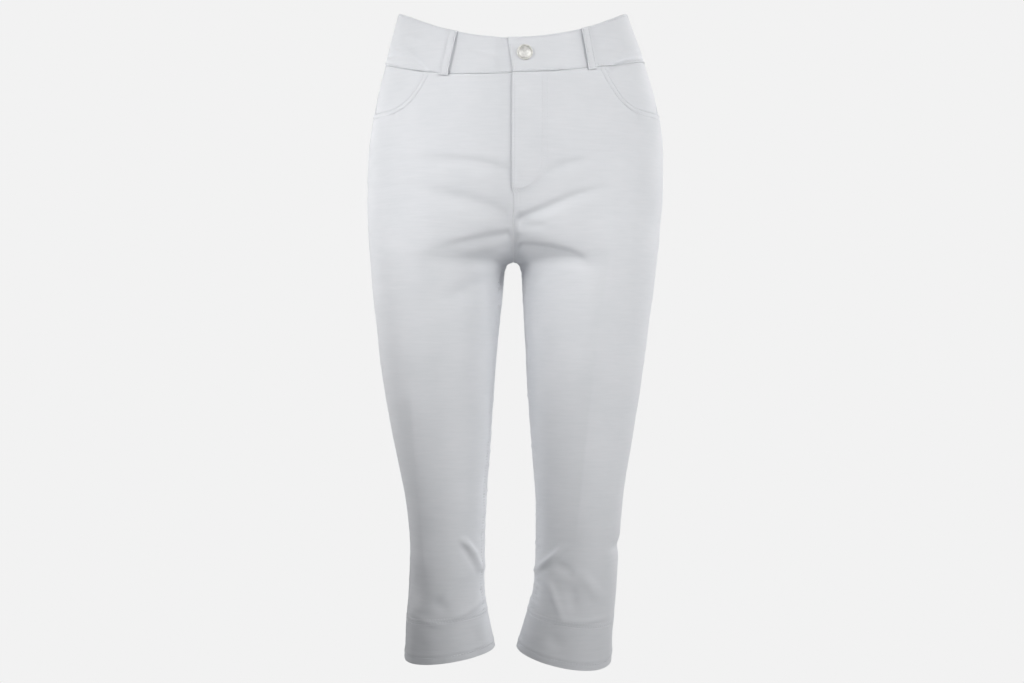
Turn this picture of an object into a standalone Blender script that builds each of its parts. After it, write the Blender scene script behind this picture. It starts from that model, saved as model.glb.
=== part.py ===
"""Capri trousers in their worn shape: hollow cloth shells held at the waist.

Metres, +Z up. +X is the wearer's left, -Y the front, and the origin is the middle of the waist opening.
Every cloth piece is a wall laid on one surface, which is built from level sections. Each section runs from
the middle of the body (or the inseam, on a leg) round to the outseam as one cubic Bezier, at front and back.
"""

import functools
import math
from collections import namedtuple

import bmesh
import bpy
import numpy as np
from mathutils import Matrix, Vector

# ---------------------------------------------------------------- driving sizes
SEAM_GAP = 0.0003  # between two pieces that are sewn together
LAYER_GAP = 0.0009  # between two layers of cloth, with room for the flats of a coarser layer outside
PANEL_WALL = 0.0014  # stretch twill with its seam allowances
FACING_WALL = 0.0011
BAND_WALL = 0.0022  # two layers and an interlining
BAND_STAND = 0.0006  # the waistband stands this far out of the panels
HEM_WALL = 0.0022  # turned-up hem, two layers

OVERLAP_RISE = 0.0013  # how far the lapped waistband end stands out
UNDERLAP_SINK = 0.0017
UNDERLAP_LENGTH = 0.034
LAP_TOP = -0.0062  # the lapped end, from the centre front, at the top edge
LAP_FOOT = -0.0002  # and at the waistband's seam

LOOP_WIDTH = 0.0125
LOOP_WALL = 0.0014
LOOP_STAND = 0.0009  # from the panels' surface to the loop's inside, at its ends
LOOP_BOW = 0.0019  # how much further the loop stands off at its middle
LOOP_TOP_ROW = 0.02

POCKET_LAP = 0.012  # the facing reaches this far under the front panel
FLY_WIDTH = 0.0375
FLY_STRAIGHT_ROW = 3.05  # the J of the fly turns in from this section row
FLY_FOOT_ROW = 3.92  # and ends at the centre front here
ZIP_HALF = 0.013
SHIELD_BEYOND = 0.018  # how far the shield reaches past the centre front, to the wearer's right
SLIDER_SIZE = (0.0075, 0.0021, 0.011)
SLIDER_GAP = 0.0007  # on both sides of the slider
SHIELD_DEPTH = PANEL_WALL + SLIDER_SIZE[1] + 2 * SLIDER_GAP + FACING_WALL + LAYER_GAP

BUTTON_RADIUS = 0.00875
BUTTON_RIM = 0.0019
BUTTON_ALONG = 0.0122  # from the centre front, along the waistband
BUTTON_ROW = 0.47
SHANK_RADIUS = 0.0022
BUTTONHOLE_RADIUS = 0.0029
TACK_RADIUS = 0.0050
TACK_WALL = 0.0009

LEFT, RIGHT = 1, -1  # the wearer's
FRONT, BACK = -1, 1

# ---------------------------------------------------------------- section tables
# Every table has one row for each section, from the waist's edge down; lengths are for the wearer's left.
# The outseam is (side_x, side_y, side_z) and the inseam, which starts at the crotch, (mid_x, side_y, mid_z).
Seam = namedtuple("Seam", "name side_z side_x side_y mid_x mid_z")
SEAMS = (
    Seam("waist edge", 0.0108, 0.1292, 0.000, 0, 0),
    Seam("waistband seam", -0.0455, 0.1470, 0.000, 0, 0),
    Seam("pocket foot", -0.0985, 0.1605, 0.000, 0, 0),
    Seam("hip", -0.1500, 0.1668, 0.000, 0, 0),
    Seam("seat", -0.1980, 0.1678, 0.000, 0, 0),
    Seam("upper rise", -0.2260, 0.1662, 0.000, 0, 0),
    Seam("middle rise", -0.2460, 0.1647, 0.000, 0, 0),
    Seam("lower rise", -0.2595, 0.1633, 0.000, 0, 0),
    Seam("crotch", -0.2695, 0.1623, 0.000, 0.0000, -0.2695),
    Seam("arch", -0.2795, 0.1612, 0.000, 0.0062, -0.2718),
    Seam("arch foot", -0.2915, 0.1600, 0.000, 0.0094, -0.2800),
    Seam("thigh", -0.3180, 0.1569, 0.000, 0.0122, -0.3130),
    Seam("middle thigh", -0.3660, 0.1515, 0.000, 0.0161, -0.3660),
    Seam("lower thigh", -0.4240, 0.1434, 0.003, 0.0198, -0.4240),
    Seam("knee", -0.4820, 0.1333, 0.006, 0.0241, -0.4820),
    Seam("below knee", -0.5390, 0.1232, 0.009, 0.0283, -0.5390),
    Seam("calf", -0.5920, 0.1188, 0.011, 0.0292, -0.5920),
    Seam("lower calf", -0.6370, 0.1182, 0.012, 0.0285, -0.6340),
    Seam("hem seam", -0.6740, 0.1181, 0.012, 0.0226, -0.6660),
    Seam("hem edge", -0.7180, 0.1183, 0.011, 0.0120, -0.7062),
)
# The centre seam of the front and of the back, down to where the rise has passed under the body.
Rise = namedtuple("Rise", "front_y front_z back_y back_z")
RISES = (
    Rise(0.0945, -0.0300, 0.0945, 0.0030),
    Rise(0.1005, -0.0690, 0.1080, -0.0450),
    Rise(0.1045, -0.1120, 0.1230, -0.1040),
    Rise(0.1025, -0.1560, 0.1290, -0.1560),
    Rise(0.0925, -0.2000, 0.1230, -0.2060),
    Rise(0.0790, -0.2290, 0.1060, -0.2360),
    Rise(0.0585, -0.2490, 0.0800, -0.2535),
    Rise(0.0320, -0.2620, 0.0430, -0.2645),
    Rise(0.0000, -0.2695, 0.0000, -0.2695),
)
# The curve of each section: turn is the angle, in degrees from the side to the front or back, at which it
# leaves the middle, and the two reaches are the lengths of its handles at the middle and at the outseam.
Curve = namedtuple("Curve", "turn mid_reach side_reach")
FRONT_CURVES = (
    Curve(0, 0.082, 0.056),
    Curve(0, 0.092, 0.060),
    Curve(0, 0.100, 0.064),
    Curve(2, 0.102, 0.070),
    Curve(10, 0.095, 0.081),
    Curve(24, 0.080, 0.093),
    Curve(42, 0.082, 0.102),
    Curve(57, 0.098, 0.109),
    Curve(66, 0.131, 0.114),
    Curve(71, 0.126, 0.115),
    Curve(75, 0.122, 0.115),
    Curve(81, 0.117, 0.115),
    Curve(86, 0.110, 0.110),
    Curve(89, 0.101, 0.101),
    Curve(90, 0.090, 0.090),
    Curve(90, 0.082, 0.082),
    Curve(90, 0.076, 0.076),
    Curve(90, 0.074, 0.074),
    Curve(90, 0.073, 0.073),
    Curve(90, 0.072, 0.072),
)
BACK_CURVES = (
    Curve(0, 0.082, 0.058),
    Curve(0, 0.092, 0.066),
    Curve(0, 0.098, 0.078),
    Curve(0, 0.100, 0.090),
    Curve(8, 0.098, 0.101),
    Curve(22, 0.092, 0.110),
    Curve(40, 0.094, 0.118),
    Curve(55, 0.118, 0.126),
    Curve(64, 0.150, 0.132),
    Curve(69, 0.143, 0.132),
    Curve(73, 0.139, 0.131),
    Curve(80, 0.131, 0.129),
    Curve(86, 0.119, 0.119),
    Curve(89, 0.103, 0.103),
    Curve(90, 0.087, 0.087),
    Curve(90, 0.079, 0.079),
    Curve(90, 0.076, 0.076),
    Curve(90, 0.074, 0.074),
    Curve(90, 0.073, 0.073),
    Curve(90, 0.071, 0.071),
)
# How the worn garment leans off its mirror image: how far its outseams and inner seams move along +X.
Lean = namedtuple("Lean", "z outseam inner")
LEANS = (
    Lean(0.020, 0.0006, 0.0019),
    Lean(-0.045, 0.0034, 0.0016),
    Lean(-0.075, 0.0049, 0.0016),
    Lean(-0.150, 0.0045, 0.0016),
    Lean(-0.220, 0.0028, 0.0016),
    Lean(-0.270, 0.0020, 0.0014),
    Lean(-0.330, 0.0006, 0.0001),
    Lean(-0.400, 0.0000, -0.0014),
    Lean(-0.470, 0.0012, -0.0012),
    Lean(-0.540, 0.0029, -0.0011),
    Lean(-0.590, 0.0032, -0.0018),
    Lean(-0.635, 0.0009, -0.0033),
    Lean(-0.680, -0.0027, -0.0062),
    Lean(-0.720, -0.0046, -0.0080),
)
# How much lower the sections hang at their front handles than at their seams, at hem and waistband seam.
HEM_DIP = {LEFT: 0.0150, RIGHT: 0.0065}
BAND_DIP = {LEFT: -0.0010, RIGHT: 0.0070}
BAND_ROW, CROTCH_ROW, CALF_ROW, HEM_ROW, END_ROW = 1, 8, 16.5, 18, 19

# The scooped pocket mouth: how far from the outseam it lies at each section row.
Scoop = namedtuple("Scoop", "row from_side")
SCOOP = (
    Scoop(1.00, 0.0980),
    Scoop(1.30, 0.0955),
    Scoop(1.60, 0.0905),
    Scoop(1.80, 0.0840),
    Scoop(1.94, 0.0745),
    Scoop(2.02, 0.0610),
    Scoop(2.055, 0.0460),
    Scoop(2.078, 0.0310),
    Scoop(2.092, 0.0150),
    Scoop(2.10, 0.0000),
)
# Section row of the seam between yoke and back panel, at the centre back and at the side.
YOKE_ROW_MIDDLE, YOKE_ROW_SIDE = 2.02, 1.62

# Belt loops: distances along the waistband from the centre front or back, and the section row of their feet.
Loop = namedtuple("Loop", "half top foot foot_row")
LOOPS = (
    Loop(FRONT, 0.0805, 0.0872, 1.07),
    Loop(FRONT, -0.0665, -0.0765, 1.07),
    Loop(BACK, 0.0920, 0.1000, 1.10),
    Loop(BACK, -0.0920, -0.1000, 1.10),
    Loop(BACK, 0.0000, 0.0000, 1.10),
)

# Base colour, roughness and metallic value of each finish.
Finish = namedtuple("Finish", "colour roughness metallic")
TWILL = Finish((0.80, 0.82, 0.84, 1.0), 0.85, 0.0)
ZIP_TAPE = Finish((0.78, 0.79, 0.80, 1.0), 0.80, 0.0)
METAL = Finish((0.72, 0.72, 0.70, 1.0), 0.32, 1.0)

SAMPLES = 64  # points along one section when its length is measured
EDGE = 1e-6  # nearer than this to a seam counts as on it

# Section rows at which the panels' cross lines lie: close together where the surface turns.
UPPER_ROWS = tuple(scoop.row for scoop in SCOOP)
LOWER_ROWS = (2.5, 3, 3.5, 4, 4.5, 5, 6, 7, 8, 9, 10, 11, 11.5, 12, 13, 14, 15, 16, 17, 18)
PANEL_COLUMNS = 12


# ---------------------------------------------------------------- the surface
def between_rows(values, row):
    """A smooth curve through a column of a table, read at a fractional row. It never overshoots."""
    last = len(values) - 1
    row = min(max(row, 0.0), float(last))
    low = min(int(row), last - 1)
    part = row - low

    def slope(i):
        """The slope at a row, level where the column turns back."""
        if i == 0:
            return values[1] - values[0]
        if i == last:
            return values[last] - values[last - 1]
        before, after = values[i] - values[i - 1], values[i + 1] - values[i]
        return 2.0 * before * after / (before + after) if before * after > 0 else 0.0

    return (
        values[low] * (2 * part**3 - 3 * part**2 + 1)
        + values[low + 1] * (3 * part**2 - 2 * part**3)
        + slope(low) * (part**3 - 2 * part**2 + part)
        + slope(low + 1) * (part**3 - part**2)
    )


def seam_at(name, row):
    """One column of the seam table at a fractional row."""
    return between_rows([getattr(seam, name) for seam in SEAMS], row)


def curve_at(half, name, row):
    """One column of the front's or the back's table at a fractional row."""
    curves = FRONT_CURVES if half == FRONT else BACK_CURVES
    return between_rows([getattr(curve, name) for curve in curves], row)


def middle_at(half, row):
    """The start of a section, unleaned: on the centre front or back and the rise, then on the inseam."""
    if row >= CROTCH_ROW:
        below = row - CROTCH_ROW
        mid_x = between_rows([seam.mid_x for seam in SEAMS[CROTCH_ROW:]], below)
        mid_z = between_rows([seam.mid_z for seam in SEAMS[CROTCH_ROW:]], below)
        return mid_x, seam_at("side_y", row), mid_z
    names = ("front_y", "front_z") if half == FRONT else ("back_y", "back_z")
    mid_y, mid_z = (between_rows([getattr(rise, name) for rise in RISES], row) for name in names)
    return 0.0, half * mid_y, mid_z


def lean_at(name, z):
    """How far the outseam or the inseam leans along +X at a height."""
    return float(np.interp(-z, [-lean.z for lean in LEANS], [getattr(lean, name) for lean in LEANS]))


@functools.lru_cache(maxsize=None)
def section(side, half, row):
    """One section as a Bezier curve: its four points, and the lengths passed at SAMPLES even parts of it."""
    mid_x, mid_y, mid_z = middle_at(half, row)
    side_x, side_y, side_z = (seam_at(name, row) for name in ("side_x", "side_y", "side_z"))
    turn = math.radians(curve_at(half, "turn", row))
    dip = 0.0
    if half == FRONT:
        dip = HEM_DIP[side] * smooth_step((row - CALF_ROW) / (END_ROW - CALF_ROW))
        dip += BAND_DIP[side] * smooth_step(1 - abs(row - BAND_ROW))
    inner = Vector((side * mid_x + lean_at("inner", mid_z), mid_y, mid_z))
    outer = Vector((side * side_x + lean_at("outseam", side_z), side_y, side_z))
    leaving = curve_at(half, "mid_reach", row) * Vector((side * math.cos(turn), half * math.sin(turn), 0.0))
    arriving = curve_at(half, "side_reach", row) * Vector((0.0, half, 0.0))
    hang = Vector((0.0, 0.0, -dip))
    points = (inner, inner + leaving + hang, outer + arriving + hang, outer)
    line = [bezier(points, i / (SAMPLES - 1)) for i in range(SAMPLES)]
    steps = [(after - before).length for before, after in zip(line, line[1:])]
    return points, np.concatenate([[0.0], np.cumsum(steps)])


def bezier(points, part):
    """A point on a cubic Bezier curve."""
    rest = 1.0 - part
    weights = (rest**3, 3 * part * rest**2, 3 * part**2 * rest, part**3)
    return sum((weight * point for weight, point in zip(weights, points)), Vector())


def whole_length(side, half, row):
    """The length of a section from the middle to the outseam."""
    return float(section(side, half, float(row))[1][-1])


def on_cloth(side, half, along, row):
    """The point at a distance along a section. Past the outseam it goes on round the other half."""
    whole = whole_length(side, half, row)
    if along > whole:
        half, along = -half, whole + whole_length(side, -half, row) - along
    points, lengths = section(side, half, float(row))
    return bezier(points, float(np.interp(along, lengths, np.linspace(0.0, 1.0, SAMPLES))))


def outward(side, half, along, row):
    """The unit normal of the cloth. On a middle seam it lies in the plane of that seam."""
    step_along, step_row = 0.0015, 0.03
    start = max(along - step_along, 0.0)
    top, foot = max(row - step_row, 0.0), min(row + step_row, float(END_ROW))
    across = on_cloth(side, half, along + step_along, row) - on_cloth(side, half, start, row)
    down = on_cloth(side, half, along, foot) - on_cloth(side, half, along, top)
    normal = across.cross(down) * (side * half)
    if along < EDGE:
        normal[0 if row < CROTCH_ROW else 1] = 0.0
    if row == CROTCH_ROW and along < EDGE:
        normal = Vector((0.0, 0.0, -1.0))
    return normal.normalized()


def smooth_step(value):
    """0 to 1, easing in and out."""
    value = min(max(value, 0.0), 1.0)
    return value * value * (3.0 - 2.0 * value)


# ---------------------------------------------------------------- building
# A place on the cloth: how far it is lifted off the surface, and a small move that leaves room at a seam.
Spot = namedtuple("Spot", "side half along row lift shift")


def spot(half, along, row, lift=0.0, shift=(0.0, 0.0, 0.0)):
    """A place at a signed distance from the middle: negative is the wearer's right."""
    return Spot(LEFT if along >= 0 else RIGHT, half, abs(along), float(row), lift, Vector(shift))


def seam_shift(side, half, row):
    """Half of the seam gap, away from the centre seam or the rise, and away from the inseam below it."""
    room = SEAM_GAP / 2
    return Vector((side * room if row <= CROTCH_ROW else 0.0, half * room if row >= CROTCH_ROW else 0.0, 0.0))


def finish_material(name, finish):
    """A Principled material with the piece's own colour, roughness and metallic value."""
    material = bpy.data.materials.new(name)
    material.use_nodes = True
    shader = material.node_tree.nodes["Principled BSDF"]
    shader.inputs["Base Color"].default_value = finish.colour
    shader.inputs["Roughness"].default_value = finish.roughness
    shader.inputs["Metallic"].default_value = finish.metallic
    return material


def add_object(name, data, finish, parts):
    """A named object with its own material, linked to the collection of parts."""
    item = bpy.data.objects.new(name, data)
    data.materials.append(finish_material(name, finish))
    parts.objects.link(item)
    return item


def cloth_piece(name, columns, rows, where, wall, parts, finish=TWILL):
    """A closed wall of cloth. where(part across, row number) gives the spot of a point of its outer face."""
    mesh = bmesh.new()
    bmesh.ops.create_grid(mesh, x_segments=columns, y_segments=rows, size=0.5)
    outer = list(mesh.verts)
    made = bmesh.ops.extrude_face_region(mesh, geom=mesh.faces[:], use_keep_orig=True)["geom"]
    inner = [item for item in made if isinstance(item, bmesh.types.BMVert)]
    for verts, depth in ((outer, 0.0), (inner, wall)):
        for vert in verts:
            place = where(vert.co.x + 0.5, round((0.5 - vert.co.y) * rows))
            cloth_spot = place[:4]
            vert.co = on_cloth(*cloth_spot) + outward(*cloth_spot) * (place.lift - depth) + place.shift
    bmesh.ops.recalc_face_normals(mesh, faces=mesh.faces[:])
    if mesh.calc_volume(signed=True) < 0:
        bmesh.ops.reverse_faces(mesh, faces=mesh.faces[:])
    data = bpy.data.meshes.new(name)
    mesh.to_mesh(data)
    mesh.free()
    data.shade_smooth()
    data.set_sharp_from_angle(angle=math.radians(40))
    return add_object(name, data, finish, parts)


# ---------------------------------------------------------------- panels
def scoop_at(row):
    """How far the pocket mouth lies from the outseam at a section row, and 0 below the pocket."""
    return float(np.interp(row, [scoop.row for scoop in SCOOP], [scoop.from_side for scoop in SCOOP]))


def leg_panel(name, side, half, parts):
    """A leg panel, front or back, from the waistband or the yoke to the hem seam."""
    rows = UPPER_ROWS + LOWER_ROWS if half == FRONT else (2,) + LOWER_ROWS

    def where(across, index):
        """The spot of a point: the pocket is scooped out of the front, and the back starts at the yoke."""
        row = rows[index]
        if half == BACK and row < 3:
            row = 3 - (3 - row) * (3 - yoke_row(across))
        end = whole_length(side, half, row) - (scoop_at(row) if half == FRONT else 0.0)
        shift = Vector()
        if across < EDGE:
            shift = seam_shift(side, half, row)
        elif across > 1 - EDGE and (half == BACK or row >= UPPER_ROWS[-1]):
            shift = Vector((0.0, half * SEAM_GAP / 2, 0.0))
        if index == 0:
            shift.z -= SEAM_GAP / 2
        elif index == len(rows) - 1:
            shift.z += SEAM_GAP / 2
        return Spot(side, half, across * end, float(row), 0.0, shift)

    return cloth_piece(name, PANEL_COLUMNS, len(rows) - 1, where, PANEL_WALL, parts)


def yoke_row(across):
    """Section row of the yoke's seam, at a part of the way from the centre back to the outseam."""
    return YOKE_ROW_MIDDLE + (YOKE_ROW_SIDE - YOKE_ROW_MIDDLE) * across


def yoke(name, side, parts):
    """The back yoke, from the waistband down to its slanting seam."""
    steps = 3

    def where(across, index):
        row = BAND_ROW + (yoke_row(across) - BAND_ROW) * index / steps
        shift = Vector()
        if across < EDGE:
            shift = seam_shift(side, BACK, row)
        elif across > 1 - EDGE:
            shift = Vector((0.0, SEAM_GAP / 2, 0.0))
        shift.z += SEAM_GAP / 2 * {0: -1, steps: 1}.get(index, 0)
        return Spot(side, BACK, across * whole_length(side, BACK, row), row, 0.0, shift)

    return cloth_piece(name, PANEL_COLUMNS, steps, where, PANEL_WALL, parts)


def pocket_facing(name, side, parts):
    """The side piece behind a scooped pocket mouth: it fills the corner and reaches under the front panel."""
    rows = UPPER_ROWS[:-1] + (2.13, 2.2)

    def where(across, index):
        row = rows[index]
        whole = whole_length(side, FRONT, row)
        start = whole - scoop_at(row) - POCKET_LAP
        shift = Vector()
        if across > 1 - EDGE:
            shift.y = -SEAM_GAP / 2
        if index == 0:
            shift.z = -SEAM_GAP / 2
        return Spot(side, FRONT, start + (whole - start) * across, float(row), -PANEL_WALL - LAYER_GAP, shift)

    return cloth_piece(name, 8, len(rows) - 1, where, FACING_WALL, parts)


def hem(name, side, parts):
    """The deep turned-up hem of one leg, a ring that is closed at the inseam."""
    columns, steps = 24, 2

    def where(across, index):
        row = HEM_ROW + (END_ROW - HEM_ROW) * index / steps
        front, back = whole_length(side, FRONT, row), whole_length(side, BACK, row)
        half, along = FRONT, across * (front + back)
        if along > front:
            half, along = BACK, front + back - along
        shift = Vector()
        if across < EDGE or across > 1 - EDGE:
            shift.y = half * SEAM_GAP / 2
        if index == 0:
            shift.z = -SEAM_GAP / 2
        return Spot(side, half, max(along, 0.0), row, 0.0, shift)

    return cloth_piece(name, columns, steps, where, HEM_WALL, parts)


# ---------------------------------------------------------------- waistband and belt loops
def band_lift(side, along, half):
    """How far the waistband stands out of the surface: raised at its lapped end, sunk where it goes under."""
    if half == BACK:
        return BAND_STAND
    if side == LEFT:
        return BAND_STAND + OVERLAP_RISE * (1 - smooth_step((along - 0.045) / 0.020))
    return BAND_STAND - UNDERLAP_SINK * smooth_step((along + 0.022) / 0.012)


def waistband(name, side, parts):
    """Half of the waistband, from its end at the centre front round to the centre back."""
    columns, steps = 26, 2

    def where(across, index):
        row = BAND_ROW * index / steps
        if side == LEFT:
            start = LAP_TOP + (LAP_FOOT - LAP_TOP) * row
        else:
            start = -UNDERLAP_LENGTH
        front, back = whole_length(side, FRONT, row), whole_length(side, BACK, row)
        along = start + (front + back - start) * across
        piece_side, half = side, FRONT
        signed = along * (1 if side == LEFT else -1)
        lift = band_lift(side, signed, FRONT if along <= front else BACK)
        if along > front:
            half, along = BACK, front + back - along
        elif along < 0:
            piece_side, along = -side, -along
        shift = Vector()
        if across > 1 - EDGE:
            along, shift.x = 0.0, side * SEAM_GAP / 2
        if index == steps:
            shift.z = SEAM_GAP / 2
        return Spot(piece_side, half, along, row, lift, shift)

    return cloth_piece(name, columns, steps, where, BAND_WALL, parts)


def belt_loop(name, loop, parts):
    """A belt loop: a strip that stands off the waistband between its two sewn ends."""
    columns, steps = 2, 7

    def where(across, index):
        part = index / steps
        row = LOOP_TOP_ROW + (loop.foot_row - LOOP_TOP_ROW) * part
        along = loop.top + (loop.foot - loop.top) * part + LOOP_WIDTH * (across - 0.5)
        lift = LOOP_STAND + LOOP_BOW * math.sin(math.pi * part) + LOOP_WALL
        return spot(loop.half, along, row, lift)

    return cloth_piece(name, columns, steps, where, LOOP_WALL, parts)


# ---------------------------------------------------------------- fly
def fly_facing(parts):
    """The facing behind the wearer's left front, cut to the J of its stitching."""
    rows = (1.06, 1.7, 2.4, FLY_STRAIGHT_ROW, 3.35, 3.62, 3.82, FLY_FOOT_ROW)

    def where(across, index):
        row = rows[index]
        turned = max(row - FLY_STRAIGHT_ROW, 0.0) / (FLY_FOOT_ROW - FLY_STRAIGHT_ROW)
        width = max(FLY_WIDTH * math.sqrt(1.0 - turned**2), 0.004)
        shift = seam_shift(LEFT, FRONT, row) if across < EDGE else Vector()
        return Spot(LEFT, FRONT, width * across, float(row), -PANEL_WALL - LAYER_GAP, shift)

    return cloth_piece("fly_facing", 4, len(rows) - 1, where, FACING_WALL, parts)


def zip_tape(parts):
    """The closed zip's tape: behind the facing on the wearer's left, and deeper past the slider."""
    steps = 5

    def where(across, index):
        row = 1.08 + (3.4 - 1.08) * index / steps
        along = ZIP_HALF * (2 * across - 1)
        near = PANEL_WALL + FACING_WALL + 2 * LAYER_GAP
        far = PANEL_WALL + SLIDER_SIZE[1] + 2 * SLIDER_GAP
        return spot(FRONT, along, row, -(near + (far - near) * smooth_step((0.004 - along) / 0.008)))

    return cloth_piece("zip_tape", 6, steps, where, FACING_WALL, parts, ZIP_TAPE)


def fly_shield(parts):
    """The plain shield behind the zip."""
    steps = 5

    def where(across, index):
        row = 1.06 + (3.5 - 1.06) * index / steps
        along = -SHIELD_BEYOND + (SHIELD_BEYOND + FLY_WIDTH) * across
        return spot(FRONT, along, row, -SHIELD_DEPTH)

    return cloth_piece("fly_shield", 5, steps, where, PANEL_WALL, parts)


def facing_matrix(half, along, row, lift):
    """The frame of a hard piece on the cloth: Z outward, Y up along the cloth."""
    place = spot(half, along, row)
    normal = outward(*place[:4])
    up = (Vector((0, 0, 1)) - normal * normal.z).normalized()
    turn = Matrix((up.cross(normal), up, normal)).transposed().to_4x4()
    return Matrix.Translation(on_cloth(*place[:4]) + normal * lift) @ turn


def zip_slider(parts):
    """The slider at the top of the closed zip, between the front panel and the tape."""
    mesh = bmesh.new()
    bmesh.ops.create_cube(mesh, size=1.0)
    wide, thick, tall = SLIDER_SIZE
    bmesh.ops.scale(mesh, vec=(wide, tall, thick), verts=mesh.verts)
    rim = [edge for edge in mesh.edges if abs(edge.verts[0].co.z - edge.verts[1].co.z) > EDGE]
    bmesh.ops.bevel(mesh, geom=rim, offset=0.0018, segments=3, affect="EDGES", profile=0.5, material=-1)
    data = bpy.data.meshes.new("zip_slider")
    mesh.to_mesh(data)
    mesh.free()
    item = add_object("zip_slider", data, METAL, parts)
    item.matrix_world = facing_matrix(FRONT, -0.0065, 1.3, -PANEL_WALL - SLIDER_GAP - thick / 2)
    return item


# ---------------------------------------------------------------- button
def turned(name, profile, steps, matrix, parts):
    """A turned metal piece: its profile, radius and height, runs from the top of the axis down its side."""
    data = bpy.data.meshes.new(name)
    outline = bmesh.new()
    verts = [outline.verts.new((radius, 0.0, height)) for radius, height in profile]
    for before, after in zip(verts, verts[1:]):
        outline.edges.new((before, after))
    outline.to_mesh(data)
    outline.free()
    item = add_object(name, data, METAL, parts)
    screw = item.modifiers.new("turn", "SCREW")
    screw.steps = screw.render_steps = steps
    screw.use_merge_vertices = True
    screw.merge_threshold = 0.00005
    item.matrix_world = matrix
    return item


def button(parts):
    """The shank button: a dished cap with a rolled rim, and a shank through the hole to the underlap."""
    cap_back = BAND_STAND + OVERLAP_RISE + 0.0005
    shank_foot = BAND_STAND - UNDERLAP_SINK + SEAM_GAP
    base = facing_matrix(FRONT, BUTTON_ALONG, BUTTON_ROW, 0.0)
    rim, edge = BUTTON_RADIUS, cap_back + BUTTON_RIM
    profile = (
        (0.0, edge - 0.0009),
        (rim - 0.0030, edge - 0.0008),
        (rim - 0.0019, edge - 0.0001),
        (rim - 0.0010, edge),
        (rim - 0.0002, edge - 0.0005),
        (rim, edge - 0.0011),
        (rim - 0.0005, cap_back + 0.0001),
        (rim - 0.0014, cap_back),
        (SHANK_RADIUS, cap_back),
        (SHANK_RADIUS, shank_foot),
        (0.0, shank_foot),
    )
    turned("button", profile, 32, base, parts)
    tack_top = BAND_STAND - UNDERLAP_SINK - BAND_WALL - SEAM_GAP
    tack = (
        (0.0, tack_top),
        (TACK_RADIUS - 0.0003, tack_top),
        (TACK_RADIUS, tack_top - 0.0003),
        (TACK_RADIUS - 0.0008, tack_top - TACK_WALL),
        (0.0, tack_top - TACK_WALL),
    )
    turned("button_tack", tack, 24, base, parts)
    return base


def cut_buttonhole(band, base, cutters):
    """Cuts the round eye of the buttonhole through the lapped end of the waistband."""
    mesh = bmesh.new()
    radius = BUTTONHOLE_RADIUS
    bmesh.ops.create_cone(mesh, cap_ends=True, segments=20, radius1=radius, radius2=radius, depth=0.006)
    bmesh.ops.translate(mesh, verts=mesh.verts, vec=(0, 0, BAND_STAND + OVERLAP_RISE - BAND_WALL / 2))
    data = bpy.data.meshes.new("buttonhole_cutter")
    mesh.to_mesh(data)
    mesh.free()
    cutter = bpy.data.objects.new("buttonhole_cutter", data)
    cutters.objects.link(cutter)
    cutter.matrix_world = base
    cutter.display_type = "WIRE"
    cutter.hide_render = True
    cut = band.modifiers.new("buttonhole", "BOOLEAN")
    cut.operation = "DIFFERENCE"
    cut.solver = "EXACT"
    cut.object = cutter


def new_collection(name):
    """A collection linked to the scene."""
    made = bpy.data.collections.new(name)
    bpy.context.scene.collection.children.link(made)
    return made


def main():
    """Clears the scene and builds every piece."""
    for item in list(bpy.data.objects):
        bpy.data.objects.remove(item, do_unlink=True)
    parts, cutters = new_collection("capri_pants"), new_collection("cutters")
    bands = {}
    for word, side in (("left", LEFT), ("right", RIGHT)):
        leg_panel(f"front_{word}", side, FRONT, parts)
        leg_panel(f"back_{word}", side, BACK, parts)
        yoke(f"yoke_{word}", side, parts)
        pocket_facing(f"pocket_facing_{word}", side, parts)
        hem(f"hem_{word}", side, parts)
        bands[side] = waistband(f"waistband_{word}", side, parts)
    for number, loop in enumerate(LOOPS, 1):
        belt_loop(f"belt_loop_{number}", loop, parts)
    fly_facing(parts)
    zip_tape(parts)
    fly_shield(parts)
    zip_slider(parts)
    cut_buttonhole(bands[LEFT], button(parts), cutters)


main()
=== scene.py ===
"""Capri trousers: the finished cloth, stitching and metal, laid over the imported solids.

Metres, +Z up. +X is the wearer's left and -Y the front. Each piece of cloth is a fine closed shell on the
same surface as its solid. Its folds, seams and puckers are in the mesh. Only its weave is in the material.
"""

import logging
import math
from collections.abc import Callable, Sequence
from dataclasses import dataclass, field
from enum import Enum, IntEnum
from typing import NamedTuple

import bmesh
import bpy
import numpy as np
from mathutils import Matrix, Vector, noise


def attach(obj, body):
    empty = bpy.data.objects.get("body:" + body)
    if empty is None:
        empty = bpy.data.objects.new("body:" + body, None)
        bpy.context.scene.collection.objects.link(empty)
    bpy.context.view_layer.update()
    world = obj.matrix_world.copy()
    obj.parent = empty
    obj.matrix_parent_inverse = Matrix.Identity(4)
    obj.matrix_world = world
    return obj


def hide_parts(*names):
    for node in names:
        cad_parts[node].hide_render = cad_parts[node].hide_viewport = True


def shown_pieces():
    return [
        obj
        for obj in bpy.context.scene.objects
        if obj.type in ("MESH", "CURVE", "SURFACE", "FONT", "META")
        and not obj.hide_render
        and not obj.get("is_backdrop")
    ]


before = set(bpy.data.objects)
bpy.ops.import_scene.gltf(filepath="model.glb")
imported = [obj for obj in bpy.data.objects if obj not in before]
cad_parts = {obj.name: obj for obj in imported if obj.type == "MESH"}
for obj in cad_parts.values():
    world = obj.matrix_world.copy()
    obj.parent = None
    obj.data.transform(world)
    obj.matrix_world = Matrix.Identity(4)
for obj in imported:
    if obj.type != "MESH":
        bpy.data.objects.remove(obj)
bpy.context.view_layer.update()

Array = np.ndarray
LOG = logging.getLogger("capri")
ROOT = "root"
UV_NAME = "cloth"
EDGE_ROLL = 0.00045
FAR = 0.05

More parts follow.
